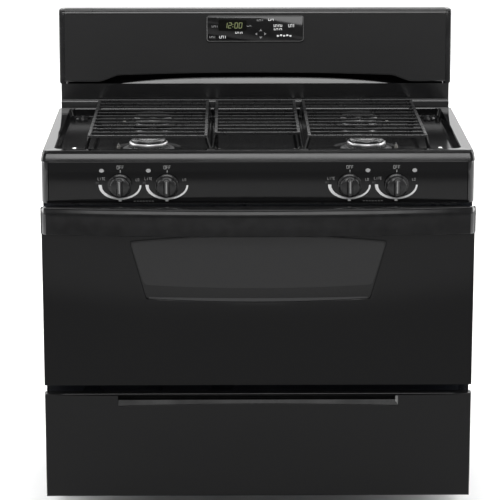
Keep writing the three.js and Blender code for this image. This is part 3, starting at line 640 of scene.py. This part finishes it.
def build_vent_trim():
    """The stepped riser behind the cooktop, its step chamfered, and the slope under the arch."""
    low, high = limits("vent_trim")
    face, step, top = low.y, low.y + 6.2, GUARD["z"] - 0.4
    ledge = 930.6
    riser = [(face + 0.9, low.z), (face, ledge - 1.6), (face + 1.1, ledge + 1.3), (face + 2.0, ledge + 2.3),
             (step - 1.1, ledge + 3.0), (step - 0.5, ledge + 3.8), (step, top), (step + 1.6, top),
             (step + 1.6, ledge + 1.8), (face + 2.0, ledge), (face + 1.6, low.z)]
    skin = Shape()
    skin.loft([section_at(x, riser) for x in spread(low.x, high.x, 9)])
    columns = spread(-CRESCENT["half"], CRESCENT["half"], 81)
    section = [(0.0, 0.0), (0.8, 0.18), (2.6, 0.55), (4.3, 0.86), (5.4, 0.95), (7.0, 1.0), (11.0, 1.0)]
    front = [(depth, share, 0.0, 0.0) for depth, share in section]
    behind = [(depth, share, 1.2, -1.6) for depth, share in reversed(section)]

    def crescent(x, point):
        depth, share, setback, drop = point
        rise = 1 - abs(x / CRESCENT["half"]) ** 3
        return (x, step + depth * rise + setback, top - 1.0 + share * CRESCENT["rise"] * rise + drop)

    skin.loft([[crescent(x, point) for point in front + behind] for x in columns])
    made = skin.make("vent_riser", TRIM_ENAMEL)
    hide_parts("vent_trim")


def build_cooktop():
    build_vent_trim()
    build_cooktop_shell()
    build_cooktop_floor()
    build_cooktop_screws()
    for name, (x, y) in BURNERS.items():
        build_burner(name, x, y)
    build_grate("grate_left", "left_grate", 12, 9)
    build_grate("grate_right", "right_grate", 12, 9)
    build_grate("grate_centre", "centre_grate", 11, 6)


# ---- control panel
KNOB_X = [box_centre(f"knob_{index}").x for index in range(1, 5)]
KNOB_Z = box_centre("knob_1").z
PANEL = {"low": limits("control_panel")[0].z - 4.0, "high": limits("control_panel")[1].z, "edge": -298.0}


def panel_y(z):
    """The panel's face at a height: it bows out a little, then leans back under the lip."""
    t = (z - PANEL["low"]) / (PANEL["high"] - PANEL["low"])
    return PANEL["edge"] - 2.6 * t - 2.2 * t ** 2 + 8.6 * t ** 3


def panel_outline(back, inset=0.0, setback=0.0, steps=24):
    """(y, z) points round a panel's section, its lower and upper edges turned over."""
    low, high = PANEL["low"] + inset, PANEL["high"] - inset
    heights = spread(low + 1.5, high - 1.6, steps) + [high - 1.0, high - 0.4]
    face = [(panel_y(z) + inset + setback, z) for z in heights]
    lower = [(back, low), (face[0][0] + 2.2, low), (face[0][0] + 0.7, low + 0.4)]
    upper = [(face[-1][0] + 0.2, high - 0.1), (face[-1][0] + 0.6, high), (back, high)]
    return lower + face + upper


def build_control_panel():
    """The panel's skin and its two end caps."""
    low, high = limits("control_panel")
    skin = Shape()
    outline = panel_outline(high.y)
    skin.loft([section_at(x, outline) for x in spread(low.x, high.x, 9)])
    made = skin.make("control_panel_skin", PANEL_ENAMEL)
    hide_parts("control_panel")
    for name, side in SIDES.items():
        build_panel_cheek(name, side)


def build_panel_cheek(name, side):
    """The panel's end cap, rounded off towards the side."""
    low, high = limits(f"panel_end_cap_{name}")
    inner, outer = (low.x, high.x) if side > 0 else (high.x, low.x)
    cap = Shape()
    rings = [section_at(inner, panel_outline(high.y, 1.0, 1.6)),
             section_at(inner + side * 1.4, panel_outline(high.y))]
    turn = abs(outer - inner) - 2.0
    for angle in spread(10, 84, 12):
        reach = sin(radians(angle))
        setback = 22.0 * (1 - cos(radians(angle)))
        x = inner + side * (2.0 + turn * reach)
        rings.append(section_at(x, panel_outline(high.y, 2.5 * reach ** 6, setback)))
    cap.loft(rings)
    made = cap.make(f"panel_cheek_{name}", CHEEK_PLASTIC)
    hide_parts(f"panel_end_cap_{name}")


class Print:
    """Flat printed marks that lie just proud of a surface given by place(x, z)."""

    def __init__(self, place):
        self.place = place
        self.shape = Shape()

    def strip(self, inner, outer, slot=0):
        """A band between two lines of (x, z) points."""
        points = [self.place(x, z) for x, z in inner + outer]
        count = len(inner)
        faces = [(i, i + 1, count + i + 1, count + i) for i in range(count - 1)]
        self.shape.add(points, faces, slot)

    def patch(self, outline, slot=0):
        self.shape.add([self.place(x, z) for x, z in outline], [tuple(range(len(outline)))], slot)

    def bar(self, x0, z0, x1, z1, width, slot=0):
        dx, dz = x1 - x0, z1 - z0
        length = hypot(dx, dz)
        nx, nz = -dz / length * width / 2, dx / length * width / 2
        self.patch([(x0 - nx, z0 - nz), (x1 - nx, z1 - nz), (x1 + nx, z1 + nz), (x0 + nx, z0 + nz)], slot)

    def dot(self, x, z, radius, slot=0, squash=1.0):
        self.patch(arc(x, z, radius, radius * squash, 0, 345, 23), slot)

    def word(self, text, x, z, height, slot=0):
        """Block letters drawn with straight strokes, centred on (x, z)."""
        step = height * 0.78
        start = x - step * (len(text) - 1) / 2
        for i, letter in enumerate(text):
            cx = start + i * step
            for x0, z0, x1, z1 in STROKES[letter]:
                self.bar(cx + (x0 - 0.5) * height * 0.5, z + (z0 - 0.5) * height,
                         cx + (x1 - 0.5) * height * 0.5, z + (z1 - 0.5) * height, height * 0.15, slot)

    def make(self, name, inks, body="cabinet"):
        return self.shape.make(name, inks, body, smooth=False)


STROKES = {
    "O": [(0, 0, 0, 1), (1, 0, 1, 1), (0, 0, 1, 0), (0, 1, 1, 1)],
    "F": [(0, 0, 0, 1), (0, 1, 1, 1), (0, 0.5, 0.8, 0.5)],
    "L": [(0, 0, 0, 1), (0, 0, 1, 0)],
    "I": [(0.5, 0, 0.5, 1)],
    "T": [(0.5, 0, 0.5, 1), (0, 1, 1, 1)],
    "E": [(0, 0, 0, 1), (0, 1, 1, 1), (0, 0.5, 0.8, 0.5), (0, 0, 1, 0)],
    "H": [(0, 0, 0, 1), (1, 0, 1, 1), (0, 0.5, 1, 0.5)],
}


def build_dial(index, x):
    """The printed scale round a knob: off, light, high, and a tapering sweep down to low."""
    marks = Print(lambda px, pz: (px, panel_y(pz) - 0.12, pz))
    steps = 40
    outer = arc(x, KNOB_Z, 50, 34.5, 178, 360, steps)
    inner = []
    for i in range(steps + 1):
        taper = 7.6 - 3.4 * i / steps
        angle = radians(178 + 182 * i / steps)
        inner.append((x + (50 - taper) * cos(angle), KNOB_Z + (34.5 - taper * 0.8) * sin(angle)))
    marks.strip(inner, outer)
    marks.bar(x, KNOB_Z - 33, x, KNOB_Z - 38.5, 7)
    marks.word("OFF", x + 1, KNOB_Z + 42, 7.5, slot=1)
    marks.bar(x + 1, KNOB_Z + 30, x + 1, KNOB_Z + 36, 2.4, slot=1)
    marks.word("LITE", x - 43, KNOB_Z + 15.5, 6.0, slot=1)
    marks.word("HI", x - 52, KNOB_Z + 6.0, 5.6, slot=2)
    marks.word("LO", x + 41, KNOB_Z + 13.0, 5.6, slot=1)
    side = -1 if x < 0 else 1
    marks.dot(x + side * 43, KNOB_Z + 34.5, 5.6, slot=3, squash=0.8)
    inks = [WHITE_INK, GREY_INK, DIM_INK, DOT_INK]
    made = marks.make(f"dial_print_{index}", inks)


def build_pair_label(name, x):
    """A short printed line between a pair of knobs."""
    marks = Print(lambda px, pz: (px, panel_y(pz) - 0.12, pz))
    for i in range(7):
        left = x - 23 + i * 7
        marks.bar(left, PANEL["low"] + 5, left + 4.6, PANEL["low"] + 5, 2.4)
    made = marks.make(f"pair_label_{name}", DIM_INK)


def build_knob(index, x):
    """A stepped round skirt with an upright grip bar that narrows towards its crest."""
    back = limits(f"knob_{index}")[0].y + 33
    body = f"knob_body_{index}"
    knob = Shape()
    skirt = [(0, -4), (27.2, -4), (28, -3.2), (28, 2.8), (27.2, 3.8), (25.2, 4.4), (24.6, 6.0), (23.8, 16.5),
             (22.6, 19.4), (20.6, 20.8), (12, 21.4), (0, 21.4)]
    knob.turned(skirt, (x, back, KNOB_Z), steps=72, axis="y")
    rings = []
    for depth, width, height in ((17.0, 8.2, 22.2), (24.0, 7.2, 22.0), (29.0, 6.2, 21.2), (31.6, 5.2, 20.2),
                                 (32.7, 3.8, 18.6)):
        outline = arc(x, KNOB_Z + height - width, width, width, 0, 180, 8)
        outline += arc(x, KNOB_Z + width - height, width, width, 180, 360, 8)
        rings.append(upright(outline, back - depth))
    knob.loft(rings)
    knob.turned([(0, -60), (5, -60), (5, 1), (0, 1)], (x, back, KNOB_Z), steps=24, axis="y", slot=1)
    made = knob.make(f"knob_grip_{index}", [KNOB_PLASTIC, ZINC], body)
    rounded(made, 0.7, 2, 40)
    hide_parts(f"knob_{index}")
    # A grey pointer printed up the grip's crest, wide and light so it also stands for the crest's painted
    # highlight.
    pointer_and_highlight = Print(lambda px, pz: (px, back - 32.85, pz))
    pointer_and_highlight.bar(x, KNOB_Z - 12, x, KNOB_Z + 17.5, 3.4)
    mark = pointer_and_highlight.make(f"knob_pointer_and_highlight_{index}", GREY_INK, body)


def build_controls():
    """The panel, its printed dials and labels, and the knobs."""
    build_control_panel()
    for index, x in enumerate(KNOB_X, start=1):
        build_dial(index, x)
        build_knob(index, x)
    build_pair_label("left", sum(KNOB_X[:2]) / 2)
    build_pair_label("right", sum(KNOB_X[2:]) / 2)


# ---- backguard
LEAN = radians(3.5)


def on_guard(x, z, proud=0.0):
    """A point on the leaning front panel, from x and the height up its slope."""
    y = GUARD["y"] + z * sin(LEAN) - proud * cos(LEAN)
    return (x, y, GUARD["z"] + z * cos(LEAN) + proud * sin(LEAN))


def arch_height(x):
    """The panel's lower edge: a small gap at the ends, a soft shoulder, then a gentle bow."""
    run = max((ARCH["half"] - abs(x)) / ARCH["shoulder"], 0.0)
    bow = max(1 - (x / ARCH["half"]) ** 2, 0.0)
    return ARCH["gap"] + ARCH["lift"] * ease(run, 0, 1) + ARCH["rise"] * bow


def guard_ring(outline, proud):
    """An (x, z) outline lying on the leaning panel, or standing proud of it."""
    return [on_guard(x, z, proud) for x, z in outline]


def build_guard_panel():
    """The leaning front panel, its arched lower edge turned back."""
    low, high = limits("backguard_front")
    columns = spread(low.x, high.x, 181)
    sheet = Shape()
    rows = [(-4.0, 0.0), (-1.5, 0.0), (-0.4, 0.5), (0.0, 1.8)]
    rows += [(0.0, height) for height in spread(4.0, GUARD["height"], 12)]

    def place(x, row):
        proud, height = row
        base = arch_height(x)
        stretch = 1 - base / GUARD["height"]
        return on_guard(x, base + height * stretch, proud)

    sheet.grid(columns, rows, place)
    made = sheet.make("backguard_panel", GUARD_ENAMEL)
    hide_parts("backguard_front")


def guard_section(inset=0.0):
    """(y, z) points up the top band, over its rounded nose and down to the rear edge."""
    low, high = limits("backguard_shell")
    front, rear, top = low.y, high.y, high.z
    band = [(front + 1.6, top - 11.6), (front + 0.3, top - 11.2), (front + 0.3, top - 10.4),
            (front + 1.7, top - 6.6)]
    nose = [(front + 3.4, top - 3.4), (front + 5.6, top - 1.3), (front + 8.8, top)]
    back = [(rear - 9, top - 2.6), (rear - 4, top - 4.2), (rear - 1, top - 7), (rear, top - 11)]
    return [(min(y + inset, rear), z - inset) for y, z in band + nose + back[:3]] + [back[3]]


# The place in guard_section of the nose's last point.
NOSE_END = 6


def build_guard_shell():
    """The top band up to the end of its nose, then the cover over the top and down the back."""
    low, high = limits("backguard_shell")
    inside = high.y - 2.5
    section = guard_section() + [(high.y, low.z), (inside, low.z), (inside, high.z - 16)]
    skin = Shape()
    for slot, strip in enumerate((section[:NOSE_END + 1], section[NOSE_END:])):
        skin.grid(spread(low.x, high.x, 5), strip, lambda x, point: (x, *point), slot)
    made = skin.make("backguard_top", [BAND_ENAMEL, COVER_ENAMEL])
    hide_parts("backguard_shell")


def build_guard_end(name, side):
    """The end cap: a leaning head over a foot that stands a little further in."""
    low, high = limits(f"backguard_end_{name}")
    inner, outer = (low.x, high.x) if side > 0 else (high.x, low.x)
    cap = Shape()
    xs = [inner, outer - side * 5, outer - side * 2.4, outer - side * 0.7, outer]
    rings = []
    for x, inset in zip(xs, (0.0, 0.0, 0.7, 2.2, 4.6)):
        base = GUARD["z"] + inset
        front = [on_guard(x, z, -inset)[1:] for z in spread(inset, 174, 4)]
        outline = [(high.y, base)] + front + guard_section(inset * 0.8)
        rings.append(section_at(x, outline))
    cap.loft(rings)
    cap.block(sorted((inner, outer - side * 4)), (300, high.y), (low.z, GUARD["z"] + 4))
    made = cap.make(f"backguard_cheek_{name}", GUARD_CHEEK)
    rounded(made, 1.2, 2, 40)
    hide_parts(f"backguard_end_{name}")


SEGMENTS = {"0": "abcdef", "1": "bc", "2": "abged", "3": "abgcd"}


def draw_digit(marks, digit, x, z, width, height, slant=0.12):
    """A leaning seven-segment digit from its lower left corner."""
    corners = {"a": ((0, 1), (1, 1)), "b": ((1, 1), (1, 0.5)), "c": ((1, 0.5), (1, 0)), "d": ((0, 0), (1, 0)),
               "e": ((0, 0.5), (0, 0)), "f": ((0, 1), (0, 0.5)), "g": ((0, 0.5), (1, 0.5))}
    for segment in SEGMENTS[digit]:
        (x0, z0), (x1, z1) = corners[segment]
        marks.bar(x + x0 * width + z0 * slant * height, z + z0 * height,
                  x + x1 * width + z1 * slant * height, z + z1 * height, height * 0.14)


def build_console():
    """The fascia with its thin light outline, lighter down its left side as a painted highlight, the clock
    window and the printed keys.
    """
    fascia = Shape()
    outline = rounded_rectangle(126, 105, 172, 9)
    rim = rounded_rectangle(125.4, 105.6, 171.4, 8.6)
    fascia.loft([guard_ring(outline, 0.2), guard_ring(outline, 1.7), guard_ring(rim, 2.0)])
    made = fascia.make("console_fascia", FASCIA_GLOSS)
    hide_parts("control_fascia")

    lens = Shape()
    window = [(x - 58, z) for x, z in rounded_rectangle(36, 135, 163, 4)]
    lens.loft([guard_ring(window, 2.1), guard_ring(window, 3.0)])
    made = lens.make("console_lens", LENS_BLACK)
    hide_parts("display_lens")

    digits = Print(lambda x, z: on_guard(x, z, 3.12))
    for digit, x in zip("1200", (-80, -69, -53, -42)):
        draw_digit(digits, digit, x, 142, 7.0, 13.5)
    for z in (145.5, 151.5):
        digits.dot(-57.2, z, 1.2)
    made = digits.make("console_digits", DIGIT_GLOW)
    build_console_print()


def build_console_print():
    """Key names as rows of small block strokes, two arrow pairs and the fascia's outline, lighter on its left
    side as a painted highlight.
    """
    marks = Print(lambda x, z: on_guard(x, z, 2.12))
    ring = rounded_rectangle(124.2, 107.6, 174.4, 8)
    inner = rounded_rectangle(122.6, 109.2, 172.8, 7)
    marks.strip(ring + ring[:1], inner + inner[:1], slot=2)
    # Painted highlight: a lighter strip down the outline's left side.
    left = [(x, z) for x, z in ring if x < -120]
    marks.strip([(x - 0.2, z) for x, z in left], [(x + 2.0, z) for x, z in left], slot=1)
    keys = [(-104, 146, 13, 5, 1), (-110, 119, 13, 5.5, 1), (-84, 119, 15, 6.5, 0), (-42, 130, 17, 4.5, 0),
            (-16, 147, 10, 3.2, 1), (12, 162, 14, 4.5, 1), (40, 163, 12, 5, 0), (92, 148, 13, 8, 0),
            (58, 148, 20, 6.5, 0), (58, 139, 19, 5.0, 0), (-74, 169, 46, 3.4, 2)]
    for key in keys:
        key_label(marks, *key)
    for dx, dz in ((0, 9), (0, -9), (-11, 0), (11, 0)):
        arrow(marks, 14 + dx, 127 + dz, dx, dz)
    for i, x in enumerate(spread(58, 90, 5)):
        marks.dot(x, 122 + (i % 2) * 1.5, 3.0, slot=0, squash=0.8)
    made = marks.make("console_print", [WHITE_INK, GREY_INK, DIM_INK])


def key_label(marks, x, z, width, height, slot):
    """A word too small to read: a row of upright strokes joined top or bottom."""
    count = max(3, round(width / 3.6))
    for i, cx in enumerate(spread(x - width / 2, x + width / 2, count)):
        marks.bar(cx, z - height / 2, cx, z + height / 2, 1.5, slot)
        if i < count - 1 and i % 3 != 2:
            level = z + (height / 2 - 0.7) * (1 if i % 2 else -1)
            marks.bar(cx, level, cx + width / (count - 1), level, 1.3, slot)


def arrow(marks, x, z, dx, dz):
    """A small triangle pointing along (dx, dz)."""
    length = hypot(dx, dz)
    ux, uz = dx / length, dz / length
    tip = (x + ux * 3.4, z + uz * 3.4)
    ends = [(x - ux * 2 - uz * 4 * s, z - uz * 2 + ux * 4 * s) for s in (-1, 1)]
    marks.patch([tip, ends[0], ends[1]], slot=1)


def build_backguard():
    build_guard_panel()
    build_guard_shell()
    for name, side in SIDES.items():
        build_guard_end(name, side)
    build_console()


# ---- oven door
WINDOW = {"top_half": 301.0, "bottom_half": 265.0, "top": 706.0, "bottom": 566.0, "rise": 14.0, "sag": 8.0}


def window_half(z):
    """Half the window's width at a height."""
    t = (z - WINDOW["bottom"]) / (WINDOW["top"] - WINDOW["bottom"])
    return WINDOW["bottom_half"] + (WINDOW["top_half"] - WINDOW["bottom_half"]) * t


def window_outline(inset=0.0, bottom_lift=0.0, steps=24, corner=7.0):
    """The window's edge: an arched top, leaning sides, a sagging foot and eased corners."""
    top, bottom = WINDOW["top"] - inset, WINDOW["bottom"] + inset + bottom_lift
    top_half, bottom_half = WINDOW["top_half"] - inset, window_half(bottom) - inset
    foot = [(t * (bottom_half - corner), bottom - WINDOW["sag"] * (1 - t * t)) for t in spread(-1, 1, steps)]
    head = [(t * (top_half - corner), top + WINDOW["rise"] * (1 - t * t)) for t in spread(1, -1, steps)]
    side = [(bottom_half - corner * 0.25, bottom + corner * 0.35),
            (bottom_half + corner * 0.1, bottom + corner),
            (top_half - 1, top - corner), (top_half - corner * 0.3, top - corner * 0.2)]
    return foot + side + head + [(-x, z) for x, z in reversed(side)]


def box_ring(outline, half, low, high):
    """Points on a rectangle's edge, corners included, one for each point of an outline inside it."""
    middle = (low + high) / 2
    ring = []
    for x, z in outline:
        dx, dz = x, z - middle
        scale = min(half / max(abs(dx), 1e-6), (high - middle) / max(abs(dz), 1e-6))
        ring.append((dx * scale, middle + dz * scale))
    for corner in [(a, b) for a in (-half, half) for b in (low, high)]:
        nearest = min(range(len(ring)), key=lambda i: dist(ring[i], corner))
        ring[nearest] = corner
    return ring


def build_door_skin():
    """The outer skin round the window, its outside edges turned back."""
    low, high = limits("door_outer_panel")
    outline = window_outline()
    rings = []
    for inset, y in ((0.0, high.y), (0.0, low.y + 2.2), (0.6, low.y + 0.7), (2.2, low.y)):
        edge = box_ring(outline, high.x - inset, low.z + inset, high.z - inset)
        rings.append(upright(edge, y))
    for t in (0.02, 0.25, 0.5, 0.75, 0.96):
        between = [(ex + (wx - ex) * t, ez + (wz - ez) * t) for (ex, ez), (wx, wz) in zip(edge, outline)]
        rings.append(upright(between, low.y))
    for inset, y in ((-0.8, low.y), (-0.2, low.y + 0.25), (0.0, low.y + 0.9), (0.0, high.y)):
        rings.append(upright(window_outline(inset), y))
    skin = Shape()
    skin.loft(rings, capped=False)
    made = evened(skin.make("door_skin", ENAMEL, "oven_door"))
    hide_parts("door_outer_panel")


def build_door_window():
    """The glass, its clearer sight area, and a lighter strip along its foot, a painted highlight."""
    low, high = limits("door_window")
    face, chamfer = low.y + 0.5, 0.5
    outline = window_outline(0.4)
    middle = sum(z for _, z in outline) / len(outline)
    inner = [(x * (1 - chamfer / 300), middle + (z - middle) * (1 - chamfer / 80)) for x, z in outline]
    pane = Shape()
    pane.loft([upright(outline, high.y), upright(outline, face + chamfer), upright(inner, face)])
    made = pane.make("window_pane", WINDOW_BAND, "oven_door")
    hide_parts("door_window")
    view = Print(lambda x, z: (x, low.y + 0.42, z))
    view.patch(window_outline(4.0, bottom_lift=30.0, corner=9))
    # Painted highlight: a lighter strip along the window's foot, widest in the middle.
    foot_points = 24
    foot = window_outline(1.4, steps=foot_points)[:foot_points]
    lift = [(x, z + 3.0 + 5.0 * (1 - (x / WINDOW["bottom_half"]) ** 2)) for x, z in foot]
    view.strip(foot, lift, slot=1)
    made = view.make("window_sight_area", [WINDOW_GLASS, WINDOW_FOOT_HIGHLIGHT], "oven_door")


HANDLE_END = -338.0


def handle_front(x):
    """How far forward the bowed grip stands at x."""
    low, high = limits("door_handle")
    return HANDLE_END + (low.y - HANDLE_END) * (1 - (x / high.x) ** 2)


def build_door_handle():
    """A bowed full-width grip: rounded top edge, tall front face, and a lip curled under."""
    low, high = limits("door_handle")
    back = high.y
    grip = Shape()
    turn, sweep = 13.0, 22.0

    def ring(x):
        share = max(abs(x) - high.x + turn, 0.0) / turn
        tuck = 1 - sqrt(max(1 - share ** 2, 0.0))
        front = min(handle_front(x) + sweep * tuck, back - 4)
        return handle_section(x, front, back, low.z + 2.5 * tuck, high.z - 2.5 * tuck, abs(x) <= 470)

    angles = (0, 15, 30, 45, 58, 70, 80, 90)
    ends = [high.x - turn * (1 - sin(radians(angle))) for angle in angles]
    grip.loft([ring(x) for x in spread(turn - high.x, high.x - turn, 67)])
    for side in SIDES.values():
        grip.loft([ring(side * x) for x in ends], slot=1)
    made = grip.make("handle_grip", [HANDLE_PLASTIC, CHEEK_PLASTIC], "oven_door")
    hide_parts("door_handle")


def handle_section(x, front, back, low, high, open_back):
    """(x, y, z) ring: top flange, rounded crest, front wall, lower lip, and the finger space."""
    wall = 8.0
    crest = [(12, 0), (8.4, 0.3), (6.2, 1.3), (4.6, 3.0), (2.9, 6.8), (1.5, 10.4), (0.5, 14.0), (0.1, 17.0),
             (0, 20)]
    outline = [(back, high)] + [(front + setback, high - drop) for setback, drop in crest]
    outline += arc(front + 5, low + 5, 5, 5, 180, 270, 4)
    if open_back:
        inner, roof = min(front + wall + 1, back - 0.5), high - wall
        outline += [(inner, low), (inner, roof), (min(inner + 2, back), roof), (back, roof)]
    else:
        outline += [(back - 2, low), (back - 1, low), (back, low + 0.5), (back, low + 1)]
    return section_at(x, outline)


def build_door():
    build_door_skin()
    build_door_window()
    build_door_handle()


# ---- drawer
PULL = {"half": 333.0, "low": 303.0, "high": 328.0}


def build_drawer_front():
    """The front panel round its long slot, with turned-back edges."""
    low, high = limits("drawer_front")
    middle = (PULL["low"] + PULL["high"]) / 2

    def outer(inset):
        return [(x / PULL["half"] * (high.x - inset), high.z - inset if z > middle else low.z + inset)
                for x, z in pull_outline(0.0)]

    rings = []
    for inset, y in ((0.0, high.y), (0.0, low.y + 3.0), (0.9, low.y + 0.9), (3.0, low.y), (5.0, low.y)):
        rings.append(upright(outer(inset), y))
    for inset, y in ((-3.0, low.y), (-1.0, low.y), (-0.3, low.y + 0.3), (0.0, low.y + 1.2),
                     (0.0, low.y + 3.2)):
        rings.append(upright(pull_outline(inset), y))
    skin = Shape()
    skin.loft(rings, capped=False)
    made = evened(skin.make("drawer_skin", DRAWER_ENAMEL, "drawer"))
    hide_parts("drawer_front")


def pull_outline(inset, steps=24):
    """The slot's edge: straight along the top, and bowed slightly upwards along its foot."""
    half, low, high = PULL["half"] - inset, PULL["low"] + inset, PULL["high"] - inset
    foot = [(t * half, low + 5.0 * (1 - t * t)) for t in spread(-1, 1, steps)]
    return foot + [(x, high) for x, _ in reversed(foot)]


def build_drawer_pull():
    """The recess behind the slot: a floor that rises to the back, end walls and a roof, all but the floor's
    front painted near-black as shade.
    """
    low, high = limits("drawer_pull")
    cup = Shape()
    front, back = low.y, high.y - 2
    half = PULL["half"] + 1
    bevel = [(front, PULL["low"] - 2), (front + 1.5, PULL["low"]), (front + 4, PULL["low"] + 6),
             (front + 7, PULL["low"] + 12)]
    # Painted shade: the deep part of the floor, the back, the roof and the end walls take a near-black
    # plastic.
    shade = [bevel[-1], (back - 3, PULL["low"] + 15), (back, high.z - 1), (front, high.z - 0.5)]
    for slot, strip in enumerate((bevel, shade)):
        cup.grid(spread(-half, half, 41), strip, lambda x, point: (x, *point), slot)
    for x in (-half, half):
        outline = bevel + shade[1:]
        cup.add(section_at(x, outline), [tuple(range(len(outline)))], slot=1)
    # Painted highlight: a light grey strip inside the slot's right end.
    end = [(half - 7.0, front + 5), (half - 3.6, front + 3.6), (half - 1.2, front + 0.6)]
    levels = spread(PULL["low"] + 2.0, PULL["high"] - 2.5, 7)
    cup.grid(end, levels, lambda point, z: (*point, z), slot=2)
    made = cup.make("drawer_finger_cup", [PULL_PLASTIC, PULL_SHADE, PULL_END_HIGHLIGHT], "drawer")
    rounded(made, 0.8, 2, 40)
    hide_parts("drawer_pull")


def build_drawer():
    build_drawer_front()
    build_drawer_pull()


# ---- pieces shown as the CAD made them
CAD_FINISHES = {
    ENAMEL: ["side_panel"],
    OVEN_ENAMEL: ["oven_liner", "oven_bottom_panel"],
    DOOR_LINER_ENAMEL: ["door_liner"],
    REAR_STEEL: ["rear_cover"],
    ZINC: ["base_frame", "oven_burner", "flue_duct", "gas_manifold", "drawer_box", "drawer_rail", "hinge_arm",
           "hinge_receiver", "leveling_leg"],
    ALUMINIUM: ["pressure_regulator"],
    CHROME: ["oven_rack"],
    BRASS: ["valve_collar"],
    BOARD: ["control_board"],
}


def dress_cad_nodes():
    """Gives a finish to every node whose name starts with one of the finish's names."""
    for finish, names in CAD_FINISHES.items():
        for name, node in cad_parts.items():
            if not name.startswith(tuple(names)):
                continue
            for slot in node.material_slots:
                slot.link = "OBJECT"
                slot.material = finish
            rounded(node, 0.5, 2, 35)


# ---- studio
def build_floor():
    """A pale floor with a grey patch of painted shade in front, which the gloss front mirrors, and a glow far
    behind.
    """
    size = 60.0
    mesh = bpy.data.meshes.new("floor")
    mesh.from_pydata([(-size, -size, 0), (size, -size, 0), (size, size, 0), (-size, size, 0)], [],
                     [(0, 1, 2, 3)])
    floor = add_to_scene("floor", mesh)
    surface = Surface("studio_floor", (0.8, 0.8, 0.8), 0.6, specular=0.0)
    mesh.materials.append(surface.material)
    tree = surface.tree
    x, y, _ = join_axes(tree, surface.position)
    across = surface.math("MULTIPLY", x, x)
    reach = surface.math("ADD", y, surface.math("MULTIPLY", across, 0.38))
    ramp = tree.nodes.new("ShaderNodeValToRGB")
    start, end = -5.0, 1.0
    # Painted shade: grey in a curved band in front of the range, and pale further out, beside it and behind
    # it.
    shades = ((start, 0.75), (-2.6, 0.72), (-2.3, 0.42), (-0.5, 0.42), (0.0, 0.85), (end, 0.85))
    for _ in shades[2:]:
        ramp.color_ramp.elements.new(0.5)
    for element, (place, shade) in zip(ramp.color_ramp.elements, shades):
        element.position = (place - start) / (end - start)
        element.color = (shade, shade, shade, 1.0)
    tree.links.new(surface.remap(reach, 0.0, 1.0, start, end), ramp.inputs["Fac"])
    beside = surface.remap(across, 0.0, 1.0, 1.2, 5.0)
    surface.link(surface.mix(beside, ramp.outputs["Color"], (0.85, 0.85, 0.85)), "Base Color")
    surface.set("Emission Color", (1.0, 1.0, 1.0, 1.0))
    surface.link(surface.remap(reach, 0.0, 0.8, 2.0, 6.5), "Emission Strength")


def add_softbox(name, location, target, size, power):
    """A rectangular light aimed at a target."""
    light = bpy.data.lights.new(name, "AREA")
    light.shape = "RECTANGLE"
    light.size, light.size_y = size
    light.energy = power
    made = add_to_scene(name, light)
    made.location = location
    direction = Vector(target) - Vector(location)
    made.rotation_euler = direction.to_track_quat("-Z", "Y").to_euler()


def build_world():
    """White light from behind and beside, dimmer from the front and from the ceiling."""
    world = bpy.data.worlds.new("studio")
    bpy.context.scene.world = world
    world.use_nodes = True
    tree = world.node_tree
    coordinates = tree.nodes.new("ShaderNodeTexCoord")
    _, y, z = join_axes(tree, coordinates.outputs["Generated"])
    behind = join_remap(tree, y, 0.35, 1.25, -0.6, 0.3)
    ceiling = join_remap(tree, z, 1.0, 0.25, 0.36, 0.5)
    light = join_math(tree, "MULTIPLY", behind, ceiling)
    tree.links.new(light, tree.nodes["Background"].inputs["Color"])


def build_lights():
    """A key light in front, fills above and beside, and a wash on the floor behind."""
    add_softbox("front_softbox", (0.0, -4.95, 3.8), (0.0, -0.3, 0.9), (3.6, 2.4), 180)
    add_softbox("overhead_softbox", (0.0, -0.3, 3.6), (0.0, 0.0, 0.9), (3.6, 1.6), 60)
    add_softbox("left_softbox", (-3.0, 0.4, 1.9), (0.0, 0.1, 0.8), (1.6, 2.4), 60)
    add_softbox("right_softbox", (3.0, 0.4, 1.9), (0.0, 0.1, 0.8), (1.6, 2.4), 60)
    add_softbox("floor_wash", (0.0, 3.2, 3.2), (0.0, 2.2, 0.0), (6.0, 3.0), 220)


def build_camera():
    """A long lens in front of the range and above it, looking down on it."""
    camera = bpy.data.cameras.new("camera")
    camera.sensor_width = 36.0
    camera.lens = 169.8
    made = add_to_scene("camera", camera)
    made.location = (-0.071, -5.697, 1.968)
    made.rotation_euler = (radians(90 - 13.44), 0.0, radians(-0.55))
    bpy.context.scene.camera = made


def build_studio():
    build_floor()
    build_world()
    build_lights()
    build_camera()
    bpy.context.scene.view_settings.view_transform = "Standard"


build_cooktop()
build_controls()
build_backguard()
build_door()
build_drawer()
dress_cad_nodes()
build_studio()
